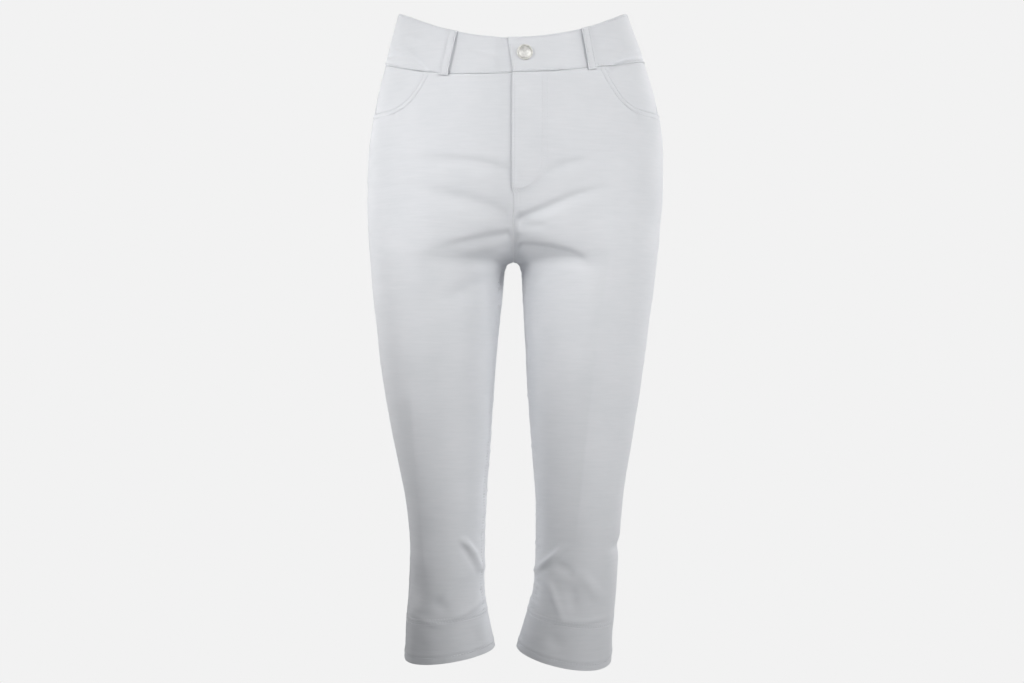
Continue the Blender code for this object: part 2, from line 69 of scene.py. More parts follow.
# ---------------------------------------------------------------- sizes shared with the solids
SEAM_GAP = 0.0003
BAND_WALL = 0.0022
BAND_STAND = 0.0006
HEM_WALL = 0.0020
PANEL_WALL = 0.0011
FACING_WALL = 0.0009
SOLID_WALL = 0.0014
SOLID_FACING = 0.0011
LAYER_GAP = 0.0009
OVERLAP_RISE = 0.0013
UNDERLAP_SINK = 0.0017
UNDERLAP_LENGTH = 0.034
LAP_TOP, LAP_FOOT = -0.0062, -0.0002
LOOP_WIDTH = 0.0107
LOOP_SHIFT = 0.0009
LOOP_TOP_ROW = 0.004
POCKET_LAP = 0.012
FLY_WIDTH = 0.0375
FLY_STRAIGHT_ROW, FLY_FOOT_ROW = 3.05, 3.92
BUTTON_RADIUS, BUTTON_RIM = 0.00875, 0.0019
BUTTON_ALONG, BUTTON_ROW = 0.0122, 0.47
SHANK_RADIUS = 0.0022
TACK_RADIUS, TACK_WALL = 0.0050, 0.0009
SLIDER_SIZE = (0.0075, 0.0021, 0.011)
SLIDER_GAP = 0.0007
SLIDER_ALONG, SLIDER_ROW = -0.0065, 1.3
YOKE_ROW_MIDDLE, YOKE_ROW_SIDE = 2.02, 1.62
BAND_ROW, CROTCH_ROW, CALF_ROW, HEM_ROW, END_ROW = 1, 8, 16.5, 18, 19


class Side(IntEnum):
    """The wearer's sides, by the sign of X."""

    LEFT = 1
    RIGHT = -1

    @property
    def word(self) -> str:
        """left or right."""
        return self.name.lower()


class Half(IntEnum):
    """Front and back, by the sign of Y."""

    FRONT = -1
    BACK = 1


class Slot(Enum):
    """The record's material slots."""

    TWILL = "white_twill"
    TAPE = "zip_tape"
    METAL = "button_metal"


HEM_DIP = {Side.LEFT: 0.0150, Side.RIGHT: 0.0065}
BAND_DIP = {Side.LEFT: -0.0010, Side.RIGHT: 0.0070}


class Seam(NamedTuple):
    """Where the outseam and the inseam pass one level, for the wearer's left."""

    name: str
    side_z: float
    side_x: float
    side_y: float
    mid_x: float
    mid_z: float


SEAMS = (
    Seam("waist edge", 0.0108, 0.1292, 0.0, 0, 0),
    Seam("waistband seam", -0.0455, 0.147, 0.0, 0, 0),
    Seam("pocket foot", -0.0985, 0.1605, 0.0, 0, 0),
    Seam("hip", -0.15, 0.1668, 0.0, 0, 0),
    Seam("seat", -0.198, 0.1678, 0.0, 0, 0),
    Seam("upper rise", -0.226, 0.1662, 0.0, 0, 0),
    Seam("middle rise", -0.246, 0.1647, 0.0, 0, 0),
    Seam("lower rise", -0.2595, 0.1633, 0.0, 0, 0),
    Seam("crotch", -0.2695, 0.1623, 0.0, 0.0, -0.2695),
    Seam("arch", -0.2795, 0.1612, 0.0, 0.0062, -0.2718),
    Seam("arch foot", -0.2915, 0.16, 0.0, 0.0094, -0.28),
    Seam("thigh", -0.318, 0.1569, 0.0, 0.0122, -0.313),
    Seam("middle thigh", -0.366, 0.1515, 0.0, 0.0161, -0.366),
    Seam("lower thigh", -0.424, 0.1434, 0.003, 0.0198, -0.424),
    Seam("knee", -0.482, 0.1333, 0.006, 0.0241, -0.482),
    Seam("below knee", -0.539, 0.1232, 0.009, 0.0283, -0.539),
    Seam("calf", -0.592, 0.1188, 0.011, 0.0292, -0.592),
    Seam("lower calf", -0.637, 0.1182, 0.012, 0.0285, -0.634),
    Seam("hem seam", -0.674, 0.1181, 0.012, 0.0226, -0.666),
    Seam("hem edge", -0.718, 0.1183, 0.011, 0.012, -0.7062),
)


class Rise(NamedTuple):
    """The centre seam at one level, down to where it has passed under the body."""

    front_y: float
    front_z: float
    back_y: float
    back_z: float


RISES = (
    Rise(0.0945, -0.03, 0.0945, 0.003),
    Rise(0.1005, -0.069, 0.108, -0.045),
    Rise(0.1045, -0.112, 0.123, -0.104),
    Rise(0.1025, -0.156, 0.129, -0.156),
    Rise(0.0925, -0.2, 0.123, -0.206),
    Rise(0.081, -0.229, 0.106, -0.236),
    Rise(0.0635, -0.249, 0.08, -0.2535),
    Rise(0.039, -0.262, 0.043, -0.2645),
    Rise(0.0, -0.2695, 0.0, -0.2695),
)


class Curve(NamedTuple):
    """The bow of a section: the angle at which it leaves the middle, and its two handles' lengths."""

    turn: float
    mid_reach: float
    side_reach: float


CURVES = {
    Half.FRONT: (
        Curve(0, 0.082, 0.056),
        Curve(0, 0.092, 0.06),
        Curve(0, 0.1, 0.064),
        Curve(2, 0.102, 0.07),
        Curve(10, 0.095, 0.081),
        Curve(24, 0.08, 0.093),
        Curve(42, 0.082, 0.102),
        Curve(57, 0.098, 0.109),
        Curve(66, 0.131, 0.114),
        Curve(71, 0.126, 0.115),
        Curve(75, 0.122, 0.115),
        Curve(81, 0.117, 0.115),
        Curve(86, 0.11, 0.11),
        Curve(89, 0.101, 0.101),
        Curve(90, 0.09, 0.09),
        Curve(90, 0.082, 0.082),
        Curve(90, 0.076, 0.076),
        Curve(90, 0.074, 0.074),
        Curve(90, 0.073, 0.073),
        Curve(90, 0.072, 0.072),
    ),
    Half.BACK: (
        Curve(0, 0.082, 0.058),
        Curve(0, 0.092, 0.066),
        Curve(0, 0.098, 0.078),
        Curve(0, 0.1, 0.09),
        Curve(8, 0.098, 0.101),
        Curve(22, 0.092, 0.11),
        Curve(40, 0.094, 0.118),
        Curve(55, 0.118, 0.126),
        Curve(64, 0.15, 0.132),
        Curve(69, 0.143, 0.132),
        Curve(73, 0.139, 0.131),
        Curve(80, 0.131, 0.129),
        Curve(86, 0.119, 0.119),
        Curve(89, 0.103, 0.103),
        Curve(90, 0.087, 0.087),
        Curve(90, 0.079, 0.079),
        Curve(90, 0.076, 0.076),
        Curve(90, 0.074, 0.074),
        Curve(90, 0.073, 0.073),
        Curve(90, 0.071, 0.071),
    ),
}


class Lean(NamedTuple):
    """How far the outseams and the inner seams lean along +X at a height."""

    z: float
    outseam: float
    inner: float


LEANS = (
    Lean(0.02, 0.0006, 0.0019),
    Lean(-0.045, 0.0034, 0.0016),
    Lean(-0.075, 0.0049, 0.0016),
    Lean(-0.15, 0.0045, 0.0016),
    Lean(-0.22, 0.0028, 0.0016),
    Lean(-0.27, 0.002, 0.0014),
    Lean(-0.33, 0.0006, 0.0001),
    Lean(-0.4, 0.0, -0.0014),
    Lean(-0.47, 0.0012, -0.0012),
    Lean(-0.54, 0.0029, -0.0011),
    Lean(-0.59, 0.0032, -0.0018),
    Lean(-0.635, 0.0009, -0.0033),
    Lean(-0.68, -0.0027, -0.0062),
    Lean(-0.72, -0.0046, -0.008),
)


class Scoop(NamedTuple):
    """How far the pocket mouth lies from the outseam at a section row."""

    row: float
    from_side: float


SCOOP = (
    Scoop(1.0, 0.098),
    Scoop(1.3, 0.0955),
    Scoop(1.6, 0.0905),
    Scoop(1.8, 0.084),
    Scoop(1.94, 0.0745),
    Scoop(2.02, 0.061),
    Scoop(2.055, 0.046),
    Scoop(2.078, 0.031),
    Scoop(2.092, 0.015),
    Scoop(2.1, 0.0),
)
SCOOP_FOOT = SCOOP[-1].row


class Loop(NamedTuple):
    """A belt loop: signed distances along the waistband of its top and foot, and the row of its foot."""

    half: Half
    top: float
    foot: float
    foot_row: float


LOOPS = (
    Loop(Half.FRONT, 0.0805, 0.0872, 1.07),
    Loop(Half.FRONT, -0.0665, -0.0765, 1.07),
    Loop(Half.BACK, 0.092, 0.1, 1.1),
    Loop(Half.BACK, -0.092, -0.1, 1.1),
    Loop(Half.BACK, 0.0, 0.0, 1.1),
)


# ---------------------------------------------------------------- folds
class Fold(NamedTuple):
    """A soft trough, or a ridge where its depth is negative, along a line seen square on (x, z).

    It's at full depth in between, and start and end are the shares of it that are left at its two ends. lean
    makes its upper wall the steeper one, and spread is how much wider it is at its end. half None goes round
    the outseam.
    """

    half: Half | None
    line: tuple[tuple[float, float], ...]
    depth: float
    width: float
    start: float = 0.0
    end: float = 0.0
    lean: float = 0.0
    spread: float = 1.0


F, B = Half.FRONT, Half.BACK
RISE_FOLDS = (
    Fold(F, ((0.0, -0.177), (-0.031, -0.168), (-0.07, -0.163), (-0.119, -0.162)),
         0.0023, 0.005, 0.6, 0, 0.5),
    Fold(F, ((0.0, -0.226), (-0.029, -0.213), (-0.077, -0.2), (-0.121, -0.19)),
         0.003, 0.007, 0.8, 0, 0.4),
    Fold(F, ((0.0, -0.243), (-0.04, -0.25), (-0.079, -0.261), (-0.099, -0.268)),
         0.0029, 0.0048, 1, 0, 0.5),
    Fold(F, ((-0.004, -0.249), (-0.02, -0.255), (-0.038, -0.261)), -0.0013, 0.0036, 0.8),
    Fold(F, ((-0.016, -0.291), (-0.036, -0.297), (-0.061, -0.31), (-0.085, -0.323)),
         0.0038, 0.008, 0.7, 0, 0.3),
    Fold(F, ((-0.0245, -0.3), (-0.0235, -0.325), (-0.0215, -0.35)), 0.0009, 0.004, 0.6),
    Fold(F, ((0.031, -0.18), (0.064, -0.167), (0.098, -0.159)), 0.002, 0.0042, 0, 0, 0.4),
    Fold(F, ((0.01, -0.225), (0.022, -0.2215), (0.06, -0.2057), (0.09, -0.1957), (0.118, -0.1915)),
         0.0032, 0.0042, 0.9, 0, 0.5),
    Fold(F, ((0.01, -0.235), (0.026, -0.2345), (0.044, -0.233)), 0.0018, 0.0032, 0.4),
    Fold(F, ((0.01, -0.2555), (0.026, -0.257), (0.047, -0.2609), (0.0687, -0.2677), (0.093, -0.285)),
         0.0036, 0.0036, 1, 0, 0.6, 1.5),
    Fold(F, ((0.0375, -0.2896), (0.03, -0.302), (0.0245, -0.3133)), -0.0008, 0.0028),
    Fold(None, ((-0.175, -0.186), (-0.152, -0.192), (-0.128, -0.19)), 0.0007, 0.006, 0.6),
    Fold(None, ((0.175, -0.232), (0.152, -0.226), (0.13, -0.229)), 0.0006, 0.006, 0.6),
)
SHIN_FOLDS = (
    Fold(F, ((-0.06, -0.575), (-0.05, -0.5855), (-0.0425, -0.5975), (-0.035, -0.616)),
         -0.0035, 0.0026, 0, 0.7),
    Fold(F, ((-0.061, -0.583), (-0.052, -0.593), (-0.045, -0.604), (-0.039, -0.618)),
         0.0016, 0.0034, 0, 0.5),
    Fold(F, ((-0.0339, -0.6098), (-0.05, -0.618), (-0.0656, -0.6302), (-0.097, -0.6644)),
         -0.002, 0.0052, 0.4),
    Fold(F, ((-0.035, -0.65), (-0.048, -0.66), (-0.0601, -0.665), (-0.08, -0.671)), -0.0026, 0.003, 0.6),
    Fold(F, ((-0.115, -0.62), (-0.108, -0.64), (-0.102, -0.66)), 0.0031, 0.0085, 0.4),
    Fold(F, ((-0.09, -0.645), (-0.076, -0.656), (-0.064, -0.659)), 0.0016, 0.005),
    Fold(F, ((0.027, -0.6195), (0.036, -0.609), (0.047, -0.5985), (0.063, -0.5815)),
         -0.0043, 0.0023, 0.5),
    Fold(F, ((0.044, -0.608), (0.0578, -0.612), (0.072, -0.615)), 0.0021, 0.0042),
    Fold(F, ((0.036, -0.622), (0.044, -0.637), (0.05, -0.652), (0.0567, -0.671)),
         -0.0024, 0.003, 0.3, 0.3),
    Fold(F, ((0.064, -0.626), (0.0678, -0.65), (0.068, -0.669)), 0.0024, 0.0058),
    Fold(F, ((0.072, -0.615), (0.0889, -0.6327), (0.1077, -0.66)), -0.0022, 0.005, 0.3),
    Fold(None, ((0.132, -0.5914), (0.1185, -0.5905), (0.106, -0.598)), 0.0024, 0.005, 1),
    Fold(F, ((0.052, -0.669), (0.08, -0.6715), (0.108, -0.668)), -0.0015, 0.0024, 0.4, 0.4),
    Fold(F, ((-0.112, -0.665), (-0.086, -0.6745), (-0.06, -0.672)), -0.0011, 0.0024, 0.4, 0.4),
    Fold(F, ((-0.042, -0.676), (-0.039, -0.69), (-0.04, -0.702)), 0.0015, 0.0045),
    Fold(F, ((0.044, -0.682), (0.048, -0.696), (0.05, -0.706)), 0.002, 0.0062),
)
BAND_FOLDS = (
    Fold(F, ((-0.14, -0.0285), (-0.129, -0.0315), (-0.115, -0.039), (-0.098, -0.051)),
         0.0032, 0.0021, 0.8),
    Fold(F, ((-0.144, -0.036), (-0.125, -0.042), (-0.108, -0.048), (-0.092, -0.062)),
         0.0038, 0.0026, 1, 0.5),
    Fold(F, ((-0.126, -0.019), (-0.105, -0.027), (-0.084, -0.037)), 0.0022, 0.003),
    Fold(F, ((-0.052, -0.0395), (-0.03, -0.045), (-0.004, -0.053)), 0.0018, 0.0032),
    Fold(F, ((0.0292, -0.048), (0.05, -0.0465), (0.07, -0.044)), 0.0016, 0.003),
    Fold(F, ((0.1084, -0.059), (0.121, -0.05), (0.145, -0.04)), 0.0038, 0.0026, 0.8, 0.8),
    Fold(F, ((0.092, -0.0395), (0.11, -0.036), (0.128, -0.033)), 0.0022, 0.003),
    Fold(B, ((-0.13, -0.025), (-0.108, -0.019), (-0.085, -0.017)), 0.0018, 0.0032),
    Fold(B, ((0.04, -0.015), (0.065, -0.019), (0.085, -0.024)), 0.0016, 0.003),
)
BACK_FOLDS = (
    Fold(B, ((-0.012, -0.262), (-0.045, -0.273), (-0.088, -0.27)), 0.0024, 0.0055, 0.8, 0, 0.4),
    Fold(B, ((-0.018, -0.291), (-0.055, -0.306), (-0.098, -0.304)), 0.0017, 0.007, 0.6, 0, 0.3),
    Fold(B, ((0.014, -0.258), (0.05, -0.27), (0.097, -0.262)), 0.0026, 0.0055, 0.8, 0, 0.4),
    Fold(B, ((0.02, -0.288), (0.06, -0.302), (0.102, -0.311)), 0.0019, 0.007, 0.6, 0, 0.3),
    Fold(B, ((0.0, -0.188), (0.045, -0.179), (0.092, -0.185)), 0.001, 0.006, 0.5),
    Fold(B, ((0.0, -0.217), (-0.042, -0.208), (-0.088, -0.213)), 0.0011, 0.006, 0.5),
    Fold(B, ((0.034, -0.47), (0.072, -0.479), (0.112, -0.47)), 0.0019, 0.005, 0.4, 0, 0.3),
    Fold(B, ((0.048, -0.497), (0.082, -0.503), (0.108, -0.514)), 0.0014, 0.0048, 0.2),
    Fold(B, ((0.05, -0.45), (0.084, -0.446), (0.106, -0.453)), 0.0009, 0.0042),
    Fold(B, ((-0.036, -0.477), (-0.074, -0.471), (-0.113, -0.482)), 0.0018, 0.005, 0.4, 0, 0.3),
    Fold(B, ((-0.042, -0.508), (-0.082, -0.5), (-0.108, -0.506)), 0.0013, 0.0046, 0.2),
    Fold(B, ((-0.05, -0.449), (-0.078, -0.453), (-0.1, -0.447)), 0.0008, 0.0042),
    Fold(B, ((0.034, -0.612), (0.055, -0.6), (0.082, -0.59)), -0.0014, 0.003, 0.6),
    Fold(B, ((-0.036, -0.608), (-0.058, -0.62), (-0.09, -0.65)), -0.0011, 0.0046, 0.4),
    Fold(B, ((0.1, -0.628), (0.086, -0.648), (0.07, -0.668)), 0.0012, 0.0055),
)
FOLDS = RISE_FOLDS + SHIN_FOLDS + BAND_FOLDS + BACK_FOLDS


class Pressing(NamedTuple):
    """The pressed crease down the front of a leg: a sharp ridge that falls away softly on both sides."""

    line: tuple[tuple[float, float], ...]
    height: float
    reach: float


PRESSINGS = (
    Pressing(((0.11, -0.196), (0.104, -0.282), (0.093, -0.358), (0.0843, -0.437), (0.0745, -0.54),
              (0.069, -0.6)), 0.0026, 0.016),
    Pressing(((-0.111, -0.4), (-0.109, -0.45), (-0.106, -0.505), (-0.1, -0.57), (-0.095, -0.625)),
             0.0022, 0.013),
)


# ---------------------------------------------------------------- small helpers
def smooth_step(value: Array | float) -> Array:
    """0 to 1, easing in and out."""
    value = np.clip(value, 0.0, 1.0)
    return value * value * (3.0 - 2.0 * value)


def between_rows(column: Sequence[float], row: Array) -> Array:
    """Reads a table's column at fractional rows by a smooth curve that never overshoots.

    Args:
        column: One value for each row of the table.
        row: The fractional rows.

    Returns:
        The value at each of them.
    """
    values = np.asarray(column, float)
    steps = np.diff(values)
    before, after = steps[:-1], steps[1:]
    same = before * after > 0
    slopes = np.concatenate(
        [steps[:1], np.where(same, 2 * before * after / np.where(same, before + after, 1), 0), steps[-1:]]
    )
    row = np.clip(row, 0, len(values) - 1)
    low = np.minimum(row.astype(int), len(values) - 2)
    part = row - low
    return (
        values[low] * (2 * part**3 - 3 * part**2 + 1)
        + values[low + 1] * (3 * part**2 - 2 * part**3)
        + slopes[low] * (part**3 - 2 * part**2 + part)
        + slopes[low + 1] * (part**3 - part**2)
    )


def bezier(handles: Array, part: Array) -> Array:
    """Points on cubic Bezier curves, whose four handles lie along the first axis."""
    rest = 1 - part
    weights = (rest**3, 3 * part * rest**2, 3 * part**2 * rest, part**3)
    return sum(weight[..., None] * handle for weight, handle in zip(weights, handles))


def smooth_line(points: Sequence[Sequence[float]], steps: int = 6) -> Array:
    """A Catmull-Rom curve through points.

    Args:
        points: The points.
        steps: How many steps the polyline has between two of them.

    Returns:
        The polyline.
    """
    line = np.asarray(points, float)
    ends = np.vstack([2 * line[0] - line[1], line, 2 * line[-1] - line[-2]])
    part = np.linspace(0, 1, steps, endpoint=False)[:, None]
    pieces = []
    for p0, p1, p2, p3 in zip(ends, ends[1:], ends[2:], ends[3:]):
        bend, twist = 2 * p0 - 5 * p1 + 4 * p2 - p3, 3 * (p1 - p2) + p3 - p0
        pieces.append(p1 + 0.5 * part * (p2 - p0 + part * (bend + part * twist)))
    return np.vstack([*pieces, line[-1:]])


def along_line(points: Array, line: Array) -> tuple[Array, Array]:
    """Where points lie beside a flat polyline.

    Args:
        points: The points, as an array of pairs.
        line: The polyline's points.

    Returns:
        The signed distance from the line, positive above it or, on a steep line, to its +X side, and the
        share of the line's length at which each point is nearest to it.
    """
    start, step = line[:-1], np.diff(line, axis=0)
    length = np.linalg.norm(step, axis=1)
    passed = np.concatenate([[0], np.cumsum(length)])
    offset = points[:, None, :] - start
    part = np.clip((offset * step).sum(2) / length**2, 0, 1)
    away = offset - part[..., None] * step
    distance = np.linalg.norm(away, axis=2)
    nearest = distance.argmin(axis=1)
    pick = np.arange(len(points)), nearest
    run = line[-1] - line[0]
    flat = abs(run[0]) >= abs(run[1])
    up = away[pick][:, 1] if flat else away[pick][:, 0]
    share = (passed[nearest] + part[pick] * length[nearest]) / passed[-1]
    return distance[pick] * np.where(up >= 0, 1, -1), share


def passed_along(line: Array) -> Array:
    """The length passed at each point of a line."""
    return np.concatenate([[0], np.cumsum(np.linalg.norm(np.diff(line, axis=0), axis=1))])


def noise_at(places: Array) -> Array:
    """Soft noise from -1 to 1 at an array of places, the same on every run."""
    return np.fromiter((noise.noise(place) for place in places.tolist()), float, len(places))


def edge_distance(offset: Array, width: Array, down: Array) -> Array:
    """How far the places of a piece are from its nearest edge, from where they lie across and down it."""
    return np.minimum(np.minimum(offset, width - offset), np.minimum(down - down[0], down[-1] - down))


def yoke_row(share: Array) -> Array:
    """The section row of the yoke's seam at shares of the way from the middle to the outseam."""
    return YOKE_ROW_MIDDLE + (YOKE_ROW_SIDE - YOKE_ROW_MIDDLE) * share


def facing_width(row: Array) -> Array:
    """The fly facing's width, which follows the J of its stitching."""
    turned = np.clip((row - FLY_STRAIGHT_ROW) / (FLY_FOOT_ROW - FLY_STRAIGHT_ROW), 0, 1)
    return FLY_WIDTH * np.sqrt(1 - turned**2)


# ---------------------------------------------------------------- the surface
class Spots(NamedTuple):
    """Places on the garment: which quarter, how far from its middle seam, and the fractional section row."""

    side: Array
    half: Array
    along: Array
    row: Array


def spots_on(
    side: Array | int, half: Array | int, along: Array | float, row: Array | float
) -> Spots:
    """Places from arrays or single values of any of their parts."""
    return Spots(*(np.array(a, float) for a in np.broadcast_arrays(side, half, along, row)))


@dataclass
class ClothSurface:
    """The worn garment's surface: level sections, each a Bezier from the middle to the outseam."""

    rows_between: int = 40
    samples: int = 65
    relax: float = 2.2
    relax_rows: tuple[float, float] = (3.0, 13.0)
    crotch_hold: int = 8
    plain_rows: tuple[float, float] = (10.8, 15.4)
    plain_wider: float = 0.9
    normal_step: float = 0.0012
    normal_row_step: float = 0.03
    rows: Array = field(init=False)
    tables: dict = field(init=False)

    def __post_init__(self) -> None:
        """Measures every quarter once, at closely spaced rows."""
        self.rows = np.linspace(0, END_ROW, END_ROW * self.rows_between + 1)
        self.tables = {(side, half): self._measure(side, half) for side in Side for half in Half}

    def relaxed(self, side: int, half: int) -> Array:
        """The fine sections' handles, smoothed so that the turn at the crotch stays close to its seam.

        Args:
            side: The quarter's side.
            half: The quarter's half.

        Returns:
            An array of five by the number of fine rows by three: the four handles, and what the true middle
            point is beyond the smoothed one.
        """
        knots = self.handles(side, half, np.arange(END_ROW + 1.0))
        read = [[between_rows(handle[:, axis], self.rows) for axis in range(3)] for handle in knots]
        fine = np.moveaxis(np.array(read), 1, -1).copy()
        middle = self.handles(side, half, self.rows)[0]
        fine[0] = middle
        reach = round(self.relax * self.rows_between)
        weights = np.hanning(2 * reach + 1)
        padded = np.pad(fine, ((0, 0), (reach, reach), (0, 0)), mode="reflect", reflect_type="odd")
        windows = np.lib.stride_tricks.sliding_window_view(padded, 2 * reach + 1, axis=1)
        first, last = self.relax_rows
        share = smooth_step((self.rows - first) / 2) * smooth_step((last - self.rows) / 2)
        fine += (windows @ (weights / weights.sum()) - fine) * share[:, None]
        fine += self.hangs(side, half)
        return np.concatenate([fine, (middle - fine[0])[None]])

    def hangs(self, side: int, half: int) -> Array:
        """How far the waistband's seam and the hem dip between the seams.

        Args:
            side: The quarter's side.
            half: The quarter's half.

        Returns:
            What each fine section's four handles move by.
        """
        drop = np.zeros((4, len(self.rows), 3))
        if half == Half.FRONT:
            hem = HEM_DIP[Side(side)] * smooth_step((self.rows - CALF_ROW) / (END_ROW - CALF_ROW))
            band = BAND_DIP[Side(side)] * smooth_step(1 - np.abs(self.rows - BAND_ROW))
            drop[1, :, 2], drop[2, :, 2] = -0.45 * hem - band, -1.55 * hem - band
        return drop

    def section(self, handles: Array, part: Array) -> Array:
        """Points on sections from their five handles."""
        near = (1 - part)[..., None] ** self.crotch_hold
        return bezier(handles[:4], part) + near * handles[4]

    def handles(self, side: int, half: int, row: Array) -> Array:
        """The four handles of some sections of one quarter.

        Args:
            side: The quarter's side.
            half: The quarter's half.
            row: The sections' rows.

        Returns:
            The handles, stacked along the first axis.
        """

        def read(table: Sequence[NamedTuple], name: str, at: Array = row) -> Array:
            """One named column of a table at the rows."""
            return between_rows([getattr(entry, name) for entry in table], at)

        curves, legs = CURVES[Half(half)], SEAMS[CROTCH_ROW:]
        below = np.maximum(row - CROTCH_ROW, 0)
        upper = row < CROTCH_ROW
        word = Half(half).name.lower()
        side_y, side_z = read(SEAMS, "side_y"), read(SEAMS, "side_z")
        mid_z = np.where(upper, read(RISES, word + "_z"), read(legs, "mid_z", below))
        drop = [-lean.z for lean in LEANS]
        inner_lean = np.interp(-mid_z, drop, [lean.inner for lean in LEANS])
        mid_x = np.where(upper, 0, side * read(legs, "mid_x", below)) + inner_lean
        out_x = side * read(SEAMS, "side_x") + np.interp(-side_z, drop, [lean.outseam for lean in LEANS])
        turn, reach = np.radians(read(curves, "turn")), read(curves, "mid_reach")
        level = np.zeros_like(row)
        inner = np.stack([mid_x, np.where(upper, half * read(RISES, word + "_y"), side_y), mid_z], axis=-1)
        outer = np.stack([out_x, side_y, side_z], axis=-1)
        leaving = np.stack([side * reach * np.cos(turn), half * reach * np.sin(turn), level], axis=-1)
        coming = np.stack([level, read(curves, "side_reach") * half, level], axis=-1)
        return np.stack([inner, inner + leaving, outer + coming, outer])

    def _measure(self, side: int, half: int) -> tuple[Array, Array, Array]:
        """Measures one quarter.

        Args:
            side: Its side.
            half: Its half.

        Returns:
            The length of each fine section, its Bezier parts at even steps of that length, and its handles.
        """
        part = np.linspace(0, 1, self.samples)
        handles = self.relaxed(side, half)
        every = np.broadcast_to(part, (len(self.rows), self.samples))
        line = self.section(handles[:, :, None, :], every)
        steps = np.linalg.norm(np.diff(line, axis=1), axis=2)
        lengths = np.concatenate([np.zeros((len(self.rows), 1)), np.cumsum(steps, axis=1)], axis=1)
        parts = np.array([np.interp(part * passed[-1], passed, part) for passed in lengths])
        return lengths[:, -1], parts, handles

    def whole(self, side: Array, half: Array, row: Array) -> Array:
        """The length of sections from the middle to the outseam.

        Args:
            side: The quarters' sides.
            half: The quarters' halves.
            row: The sections' rows.

        Returns:
            The lengths.
        """
        side, half, row = np.broadcast_arrays(side, half, np.asarray(row, float))
        found = np.empty(row.shape)
        for (one_side, one_half), (lengths, _, _) in self.tables.items():
            mine = (side == one_side) & (half == one_half)
            found[mine] = np.interp(row[mine], self.rows, lengths)
        return found

    def settle(self, side: Array, half: Array, along: Array, row: Array) -> Spots:
        """Rewrites places that lie past a seam as places on the quarter beyond it.

        Args:
            side: The places' sides.
            half: Their halves.
            along: Their distances from the middle seam, which may be below zero or past the outseam.
            row: Their rows.

        Returns:
            The places.
        """
        side, half, along, row = spots_on(side, half, along, row)
        before = along < 0
        side = np.where(before & (row < CROTCH_ROW), -side, side)
        half = np.where(before & (row >= CROTCH_ROW), -half, half)
        along = np.abs(along)
        whole = self.whole(side, half, row)
        past = along > whole
        along = np.where(past, whole + self.whole(side, -half, row) - along, along)
        return Spots(side, np.where(past, -half, half), along, row)

    def at(self, spots: Spots) -> Array:
        """Finds points on the plain surface.

        Args:
            spots: The places.

        Returns:
            Their points.
        """
        side, half, along, row = self.settle(*spots)
        points = np.empty(along.shape + (3,))
        for (one_side, one_half), (lengths, parts, handles) in self.tables.items():
            mine = (side == one_side) & (half == one_half)
            if not mine.any():
                continue
            at_row = row[mine]
            share = along[mine] / np.interp(at_row, self.rows, lengths) * (self.samples - 1)
            fine = at_row * self.rows_between
            top = np.minimum(fine.astype(int), len(self.rows) - 2)
            left = np.clip(share.astype(int), 0, self.samples - 2)
            down, right = fine - top, share - left
            part = (parts[top, left] * (1 - right) + parts[top, left + 1] * right) * (1 - down)
            part = part + (parts[top + 1, left] * (1 - right) + parts[top + 1, left + 1] * right) * down
            down = down[:, None]
            points[mine] = self.section(handles[:, top] * (1 - down) + handles[:, top + 1] * down, part)
        return points

    def outward(self, spots: Spots) -> Array:
        """Finds the directions out of the plain surface.

        Args:
            spots: The places.

        Returns:
            The unit normals there.
        """
        side, half, along, row = self.settle(*spots)
        step, row_step = self.normal_step, self.normal_row_step
        right, left = (self.at(Spots(side, half, along + move, row)) for move in (step, -step))
        low, high = np.minimum(row + row_step, END_ROW), np.maximum(row - row_step, 0)
        across = right - left
        down = self.at(Spots(side, half, along, low)) - self.at(Spots(side, half, along, high))
        normal = np.cross(across, down) * (side * half)[..., None]
        return normal / np.maximum(np.linalg.norm(normal, axis=-1, keepdims=True), 1e-12)

    def run(self, side: int, half: int, row: Array, share: float = 0.5) -> Array:
        """How far down the cloth rows lie.

        Args:
            side: The quarter's side.
            half: The quarter's half.
            row: The rows.
            share: Where that is measured, as a share of the way from the middle to the outseam.

        Returns:
            The distances.
        """
        along = self.whole(side, half, self.rows) * share
        line = self.at(spots_on(side, half, along, self.rows))
        return np.interp(row, self.rows, passed_along(line))

    def rows_down(
        self, side: int, half: int, start: float, end: float, near: Sequence[float], step: float
    ) -> Array:
        """Chooses the rows of a piece: closer at both ends, and wider down the plain thigh.

        Args:
            side: The piece's side.
            half: The piece's half.
            start: Its first row.
            end: Its last row.
            near: The distances of the first few rows from each end, down the cloth.
            step: The distance between the other rows.

        Returns:
            The rows.
        """
        run = self.run(side, half, self.rows)
        top, foot = np.interp([start, end], self.rows, run)
        first_plain, last_plain = self.plain_rows
        plain = smooth_step(self.rows - first_plain) * smooth_step(last_plain - self.rows)
        count = np.concatenate([[0], np.cumsum(np.diff(run) / (step * (1 + self.plain_wider * plain[1:])))])
        first, last = np.interp([top + near[-1], foot - near[-1]], run, count)
        middle = np.interp(np.linspace(first, last, max(2, round(last - first)))[1:-1], count, run)
        wanted = np.concatenate([top + np.array(near), middle, foot - np.array(near)[::-1]])
        return np.interp(wanted, run, self.rows)


